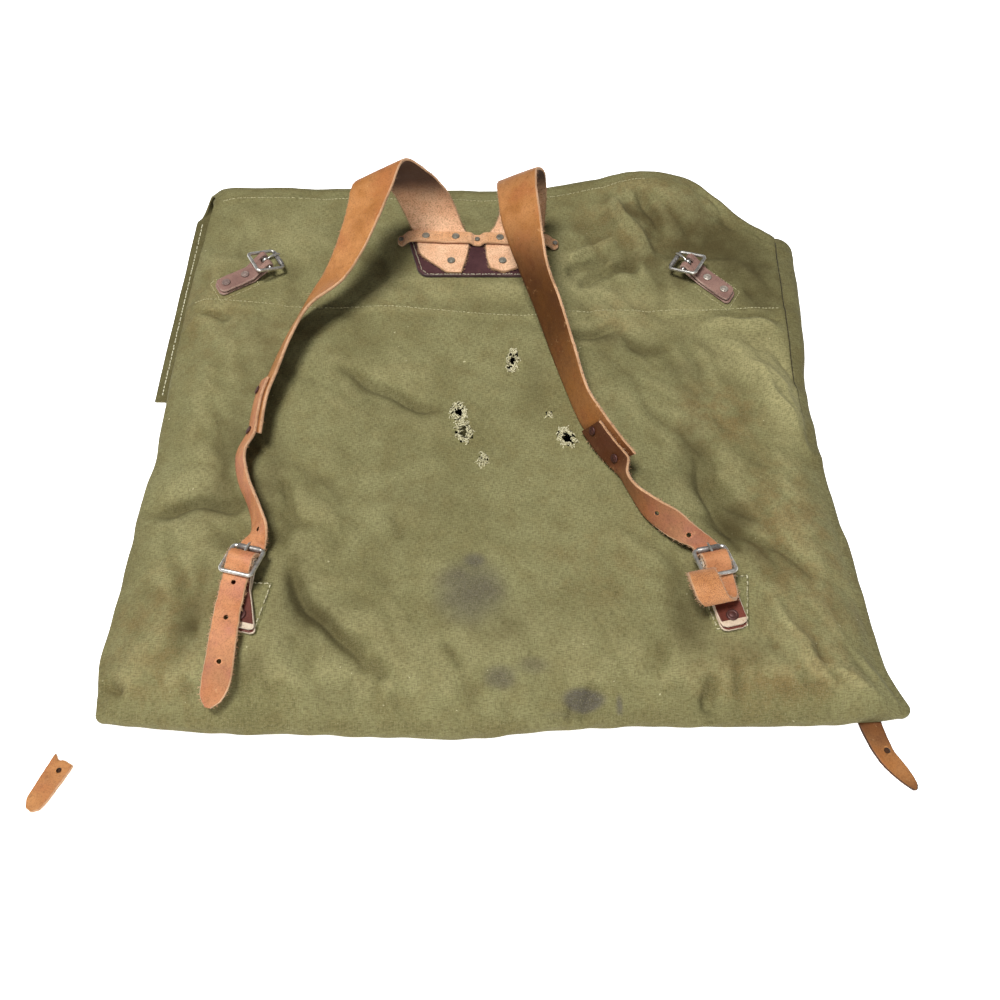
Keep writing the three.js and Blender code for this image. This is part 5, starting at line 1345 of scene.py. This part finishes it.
def band_stations():
    middle = spline([(x, BAND_Y + BAND_TILT * (x - BAND_CENTRE_X), z + BAND / 2) for x, z in BAND_ROWS],
                    BAND_STEPS)
    from_end = np.minimum(middle[:, 0] - middle[0, 0], middle[-1, 0] - middle[:, 0])
    short = np.minimum(round_off(from_end, BAND_ROUND), BAND_NARROWED)
    half = (BAND_WIDTH / 2 - short)[:, None] * np.array([0, 1, 0])
    run = np.gradient(middle, axis=0)
    grain = unit(np.stack([-run[:, 2], 0 * run[:, 0], run[:, 0]], -1))
    return middle + half, middle - half, grain


leather_strip("band", band_stations(), BAND, [band_tan, tan_flesh, tan_edge], "yoke_band")


# Tabs: leather folded round the centre bar of a buckle
def tab_path(buckle):
    bar, length, steps = buckle["bar"], buckle["tab_length"], TAB_FOLD["flat_steps"]
    lower = TAB / 2
    upper = lower + TAB + TAB_LAYERS
    loop = buckle["wire"] + GAP + TAB / 2

    def tangent(z, sign):
        fall, far = math.atan2(z - bar, TAB_LAND), math.hypot(z - bar, TAB_LAND)
        return fall + sign * math.acos(loop / far)

    path = [(a, upper) for a in np.linspace(length, TAB_LAND + TAB_FOLD["run"], steps)]
    path.append((TAB_LAND, upper + TAB_FOLD["lift"]))
    for angle in np.linspace(tangent(upper, 1), tangent(lower, -1) + 2 * math.pi, TAB_FOLD["turns"] + 1):
        path.append((loop * math.cos(angle), bar + loop * math.sin(angle)))
    path.append((TAB_LAND, lower))
    path += [(a, lower) for a in np.linspace(TAB_LAND + TAB_FOLD["run"], length + TAB_FOLD["longer"], steps)]
    return np.array(path)


def tab_stations(buckle):
    path = tab_path(buckle)
    a, z = path.T
    under = np.arange(len(a)) >= len(a) // 2
    length = buckle["tab_length"] + TAB_FOLD["longer"] * under
    half = buckle["tab_width"] / 2 - round_off(length - a, TAB_ROUND["radius"]) * TAB_ROUND["share"]
    slide = buckle["tab_shear"] * np.maximum(a - TAB_STRAIGHT, 0)
    step = spread(path)
    grain = unit(np.stack([-step[:, 1], 0 * a, step[:, 0]], -1))
    matrix = buckle_matrix(buckle)
    low, high = (placed(np.stack([a, slide + sign * half, z], -1), matrix) for sign in (-1, 1))
    return low, high, grain @ matrix[:3, :3].T


def slot_cutter(buckle):
    front, back, half, deep = (TAB_SLOT[k] for k in ("front", "back", "half", "depth"))
    corners = [(-front, -half), (back, -half), (back, half), (-front, half)]
    points = [(x, y, buckle["bar"] + z) for z in (-deep, deep) for x, y in corners]
    return moved((np.array(points), ring_faces(2, 4)), buckle_matrix(buckle))


# Buckle hardware
def rounded_loop(half_a, half_b):
    radius, steps = BUCKLE_CORNER["radius"], BUCKLE_CORNER["steps"]
    path = []
    for quarter, (sign_a, sign_b) in enumerate(((1, 1), (-1, 1), (-1, -1), (1, -1))):
        for k in range(steps + 1):
            angle = math.pi / 2 * (quarter + k / steps)
            path.append((sign_a * (half_a - radius) + radius * math.cos(angle),
                         sign_b * (half_b - radius) + radius * math.sin(angle), 0))
    return path


def across_tube(inner, outer, half, rim=0.25):
    profile = [
        (inner, -half + rim), (inner + rim, -half), (outer - rim, -half), (outer, -half + rim),
        (outer, half - rim), (outer - rim, half), (inner + rim, half), (inner, half - rim),
    ]
    return moved(turned(profile, ROUND["roller"], closed=True), turn_matrix("x", 90))


def buckle_pieces(side, buckle):
    wire, reach = buckle["wire"], buckle["reach"]
    half_b = buckle["width"] / 2 - wire
    bar = tube([(0, y, 0) for y in np.linspace(-half_b, half_b, 5)], wire * BAR_THIN, ROUND["wire"])
    rim = tube(rounded_loop(reach, half_b), wire * FRAME_STOUT, ROUND["wire"], closed=True)
    roller_half = buckle["width"] / 2 - 2 * wire - ROLLER_END_ROOM
    roller = moved(across_tube(wire + GAP, buckle["roller"], roller_half), shift_matrix(-reach, 0, 0))
    inner = wire + PRONG_RING["inner"]
    ring = across_tube(inner, inner + PRONG_RING["wall"], PRONG_RING["width"] / 2, 0.4)
    path = spline(prong_path(buckle), 8)
    thin = np.interp(np.linspace(0, 1, len(path)), *PRONG_TAPER) * PRONG["wire"]
    prong = joined([ring, moved(tube(path, thin, ROUND["prong"]), turn_matrix("z", buckle["skew"]))])
    for kind, shape, paint in (
        ("frame", joined([rim, bar]), steel), ("roller", roller, roller_steel), ("prong", prong, steel),
    ):
        body = f"{side}_{kind}" if buckle["moves"] else "bag"
        piece = make_piece(f"{kind}_{side}", moved(shape, bar_matrix(buckle)), [paint], body,
                           (f"buckle_{kind}_{side}",))
        tidy_mesh(piece)


for side, buckle in BUCKLES.items():
    skins = [mauve, mauve, mauve_edge] if buckle["moves"] else [oxblood, oxblood, pale_edge]
    tab = leather_strip("tab_leather_" + side, tab_stations(buckle), TAB, skins,
                        "tab_" + side, skived=0 if buckle["moves"] else TAB_SKIVED)
    cut_out(tab, [slot_cutter(buckle)], 2)
    buckle_pieces(side, buckle)

# Rivet heads: a ring, a dip and a raised middle
RIVET_PROFILE = [
    (1.0, 0.0), (0.99, 0.35), (0.93, 0.68), (0.82, 0.88), (0.70, 0.92), (0.60, 0.80), (0.52, 0.74),
    (0.42, 0.82), (0.28, 0.98), (0.12, 1.05), (0.02, 1.06),
]
RIVET_WAY = (0.3, 1, 0.2)
RIVET_PAINTS = (
    ("splice", rivet_maroon), ("lower", rivet_maroon), ("upper_right", rivet_pale),
    ("upper_left", rivet_mauve),
)


def rivet(node, foot, radius, up=UP):
    head = turned([(radius * share, z) for share, z in RIVET_PROFILE])
    side = unit(np.cross(up, RIVET_WAY))
    matrix = np.eye(4)
    matrix[:3, :3] = np.stack([side, np.cross(up, side), up], -1)
    matrix[:3, 3] = foot
    paint = next((paint for word, paint in RIVET_PAINTS if word in node), rivet_metal)
    piece = make_piece(node.replace("rivet", "rivet_head"), moved(head, matrix), [paint],
                       stands_for=(node,))
    tidy_mesh(piece)


flat_rivets = [n for n in sorted(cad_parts) if n.startswith("rivet_") and "splice" not in n]
for node in flat_rivets:
    low, high = (np.array(corner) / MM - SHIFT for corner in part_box(node))
    middle = (low + high) / 2
    rivet(node, (middle[0], middle[1], low[2]), (high[0] - low[0]) / 2)
for side, rows in TAILS.items():
    low, high, grain = stations(rows, COARSE["tail"])
    for number, row in enumerate(SIDES[side]["rivets"], 1):
        k = round(row * COARSE["tail"])
        spot = low[k] + (high[k] - low[k]) * SIDES[side]["rivets_across"]
        foot = spot + grain[k] * (TAIL / 2 + 2 * GAP)
        rivet(f"rivet_splice_{side}_{number}", foot, SPLICE_RIVET_RADIUS, grain[k])

# Stitches: short raised threads, with the pitch and thread radius of each seam and where it starts and ends
STITCH = {"length": 2.6 / 3.6, "rise": 0.3, "stray": 0.12}
STITCH_SHAPE = table(
    "share lift thin",
    (0, -1.2, 0.5), (0.12, 0.5, 0.9), (0.35, 1, 1), (0.65, 1, 1), (0.88, 0.5, 0.9), (1, -1.2, 0.5),
)
STITCH_SIZES = {
    "seam": (2.8, 0.34), "tab": (2.4, 0.26), "patch": (4.0, 0.5), "yoke": (2.2, 0.2), "flap": (3.2, 0.42),
}
SEWN = {"back": (-231, 212), "hem": (-226, 118), "flap": (12, 203), "right": (-32, 147)}
BACK_STITCH_UP = 1.5
ROUND_TAB = 3.6
STITCH_INSET = 3
RIGHT_SEAM = {"thin": 0.1, "thicker": 0.4, "full": (-32, 40), "up": 0.1}


def along(points, step=1.0):
    """Evenly spaced points along a broken line."""
    points = np.asarray(points, float)
    run = run_length(points)
    where = np.arange(0, run[-1], step)
    return np.stack([np.interp(where, run, points[:, k]) for k in range(points.shape[1])], -1)


def stitch_row(path, kind):
    pitch, radius = STITCH_SIZES[kind]
    run = run_length(path)
    start = np.arange(pitch / 2, run[-1] - pitch, pitch)
    start = start + rng.normal(0, STITCH["stray"] * pitch, len(start))
    shapes = []
    for first in start:
        where = first + STITCH_SHAPE["share"] * STITCH["length"] * pitch
        thread = np.stack([np.interp(where, run, path[:, k]) for k in range(3)], -1)
        thread[:, :2] += rng.normal(0, STITCH["stray"], 2)
        thread[:, 2] += STITCH_SHAPE["lift"] * STITCH["rise"]
        shapes.append(tube(thread, STITCH_SHAPE["thin"] * radius, ROUND["thread"]))
    return shapes


def on_cloth(x, y):
    return np.column_stack([x, y, cloth_top(x, y)])


def at_height(plan, z):
    return np.column_stack([plan, np.full(len(plan), z)])


def inset(corners, distance):
    corners = np.array(corners, float)
    centre = corners.mean(0)
    return centre + (corners - centre) * (1 - distance / np.linalg.norm(corners - centre, axis=1))[:, None]


def round_tab(buckle):
    """Outline on the cloth at a distance round a tab."""
    corners = []
    reach, half = buckle["tab_length"] + ROUND_TAB, buckle["tab_width"] / 2 + ROUND_TAB
    for a, sign in ((TAB_STRAIGHT, -1), (reach, -1), (reach, 1), (TAB_STRAIGHT, 1)):
        corners.append((a, sign * half + buckle["tab_shear"] * (a - TAB_STRAIGHT), 0))
    ring = placed(np.array(corners), buckle_matrix(buckle))[:, :2]
    return along(np.vstack([ring, ring[:1]]))


seam_x = np.arange(*SEWN["back"], 1.0)
hem_x = np.arange(*SEWN["hem"], 1.0)
canvas_stitches = stitch_row(on_cloth(seam_x, read(BACK_SEAM, "x", "y", seam_x) + BACK_STITCH_UP), "seam")
canvas_stitches += stitch_row(on_cloth(hem_x, read(TOP_EDGE, "x", "y", hem_x) - HEM_IN), "seam")
for side in ("upper_left", "upper_right"):
    canvas_stitches += stitch_row(on_cloth(*round_tab(BUCKLES[side]).T), "tab")
patch_stitches = []
for corners in PATCHES.values():
    ring = inset(corners, STITCH_INSET)
    path = along(np.vstack([ring, ring[:1]]))
    patch_stitches += stitch_row(at_height(path, PATCH_PAD_Z + GAP + PATCH_CLOTH), "patch")
yoke_path = along(inset(YOKE_OUTLINE, STITCH_INSET)[[1, 2, 3, 4, 5, 0]])
yoke_stitches = stitch_row(at_height(yoke_path, YOKE_PAD_Z + GAP + YOKE + 0.1), "yoke")
flap_path = [(FLAP["left"] + FLAP["seam_in"], y) for y in np.arange(*SEWN["flap"], 1.0)]
flap_top = FLAP["under"] + FLAP["hem_rise"] + FLAP["thickness"]
flap_stitches = stitch_row(at_height(flap_path, flap_top), "flap")
side_y = np.arange(*SEWN["right"], 1.0)
side_seam = on_cloth(read(RIGHT_EDGE, "y", "x", side_y), side_y) + RIGHT_SEAM["up"] * UP
side_thick = RIGHT_SEAM["thin"] + RIGHT_SEAM["thicker"] * smoothstep(side_y, *RIGHT_SEAM["full"])
make_piece("canvas_stitching", joined(canvas_stitches), [stitch_thread])
make_piece("patch_stitching", joined(patch_stitches), [moth_thread])
# A dark thread along the right seam stands for the shadow of its groove: painted shadow
make_piece("right_seam", tube(side_seam, side_thick, ROUND["thread"]), [seam_shadow_line])
make_piece("flap_stitching", joined(flap_stitches), [fray_thread])
make_piece("yoke_stitching", joined(yoke_stitches), [fray_thread])

# Curled broken threads round the moth holes
FRAY = {
    "radius": 0.66, "step": 0.9, "steps": (4, 7), "curl": 0.9, "rise": (0.3, 2.2), "out": (0.7, 1.2),
    "turn": (0.5, 2.6), "sunk": 0.4, "arch": 1.3, "stray": 0.35, "thin": 0.6,
}


def fray_thread_path(hole):
    """A thread that leaves the rim of a hole, arches up and curls."""
    hx, hy, half_x, half_y, turn, _ = hole
    c, s = math.cos(math.radians(turn)), math.sin(math.radians(turn))
    angle = rng.uniform(0, 2 * math.pi)
    out = rng.uniform(*FRAY["out"])
    dx, dy = half_x * out * math.cos(angle), half_y * out * math.sin(angle)
    spot = np.array([hx + dx * c - dy * s, hy + dx * s + dy * c])
    heading = math.atan2(spot[1] - hy, spot[0] - hx) + rng.choice((-1, 1)) * rng.uniform(*FRAY["turn"])
    bend = rng.normal(0, FRAY["curl"])
    foot = float(cloth_top(*spot)) - FRAY["sunk"]
    top = rng.uniform(*FRAY["rise"])
    steps = int(rng.integers(*FRAY["steps"], endpoint=True))
    path = []
    for t in np.linspace(0, 1, steps):
        path.append((*spot, foot + top * math.sin(math.pi * min(t * FRAY["arch"], 1))))
        spot = spot + FRAY["step"] * np.array([math.cos(heading), math.sin(heading)])
        heading += bend + rng.normal(0, FRAY["stray"])
    return path


fray_shapes = []
for hole in zip(*MOTH_HOLES.values()):
    for _ in range(int(hole[-1])):
        path = fray_thread_path(hole)
        taper = np.linspace(1, FRAY["thin"], len(path))
        fray_shapes.append(tube(path, FRAY["radius"] * taper, ROUND["thread"]))
make_piece("moth_hole_frays", joined(fray_shapes), [moth_thread])

# Stray fibres on the cut edges of the straps
FUZZ = {
    "count": 550, "radius": 0.13, "length": 2.0, "share": (0.4, 1.2), "off": 0.8, "lean": 0.8, "rise": 0.6,
    "bow": 0.25, "root": 0.2, "taper": (1, 0.8, 0.4),
}


def fuzz(rows, seed):
    low, high, grain = stations(rows, FINE_STEPS)
    local = np.random.default_rng(seed)
    shapes = []
    for _ in range(FUZZ["count"]):
        k = int(local.integers(2, len(low) - 2))
        at_high = local.random() < 0.5
        edge, other = (high[k], low[k]) if at_high else (low[k], high[k])
        out = unit(edge - other)
        spot = edge + grain[k] * local.uniform(-FUZZ["off"], FUZZ["off"])
        run = unit(low[k + 1] - low[k - 1])
        lean = unit(out + run * local.normal(0, FUZZ["lean"]) + grain[k] * local.normal(0, FUZZ["rise"]))
        tip = spot + lean * FUZZ["length"] * local.uniform(*FUZZ["share"])
        bow = (spot + tip) / 2 + local.normal(0, FUZZ["bow"], 3)
        thick = np.array(FUZZ["taper"]) * FUZZ["radius"]
        shapes.append(tube([spot - out * FUZZ["root"], bow, tip], thick, ROUND["fibre"]))
    return shapes


edge_fibres = []
for seed, rows in enumerate((LEFT_STRAP, RIGHT_STRAP, *TAILS.values()), 20):
    edge_fibres += fuzz(rows, seed)
make_piece("edge_fibres", joined(edge_fibres), [tan_edge])


# Stage, light and camera
FLOOR = {"half": 40.0, "z": -0.0004}
LIGHTS = {
    "key": {"spot": (-0.5, -0.25, 2.36), "aim": (0, 0, 0.02), "size": 0.7, "power": 68},
    "fill": {"spot": (0.9, -1.1, 1.6), "aim": (0, 0, 0.02), "size": 1.4, "power": 2},
    "front": {"spot": (-0.1, -1.25, 0.5), "aim": (-0.02, 0.14, 0.06), "size": 0.6, "power": 6},
}
WORLD_LIGHT = 0.11
CAMERA = {"place": (0.0, -478.0, 594.0), "down": 56.0, "lens": 37.476, "sensor": 36.0}


def area_light(name, spot, aim, size, power):
    data = bpy.data.lights.new(name, "AREA")
    data.size = size
    data.energy = power
    light = add_object(name, data)
    light.location = spot
    direction = np.array(aim, float) - np.array(spot, float)
    light.rotation_euler = Vector(direction).to_track_quat("-Z", "Y").to_euler()


def pale_floor():
    p = Paint("pale_floor")
    cloud = p.noise(300, 2)
    base = p.over("fbfbfa", "ffffff", cloud, 0.3, 0.7)
    p.shader.inputs["Emission Color"].default_value = (1, 1, 1, 1)
    p.shader.inputs["Emission Strength"].default_value = 1.0
    mesh = bpy.data.meshes.new("floor")
    half, z = FLOOR["half"], FLOOR["z"]
    corners = [(-half, -half, z), (half, -half, z), (half, half, z), (-half, half, z)]
    mesh.from_pydata(corners, [], [(0, 1, 2, 3)])
    mesh.materials.append(p.finish(base, p.fade(cloud, 0.2, 0.8, 0.9, 0.95), cloud, 0.01, 0.1))
    add_object("floor", mesh)


pale_floor()
for name, light in LIGHTS.items():
    area_light(name, **light)
world = bpy.data.worlds.new("studio")
world.use_nodes = True
world.node_tree.nodes["Background"].inputs["Color"].default_value = (1, 1, 1, 1)
world.node_tree.nodes["Background"].inputs["Strength"].default_value = WORLD_LIGHT
bpy.context.scene.world = world
bpy.context.scene.view_settings.view_transform = "Standard"

camera_data = bpy.data.cameras.new("camera")
camera_data.lens = CAMERA["lens"]
camera_data.sensor_width = CAMERA["sensor"]
camera = add_object("camera", camera_data)
camera.location = (np.array(CAMERA["place"]) + SHIFT) * MM
camera.rotation_euler = (math.radians(90 - CAMERA["down"]), 0, 0)
bpy.context.scene.camera = camera
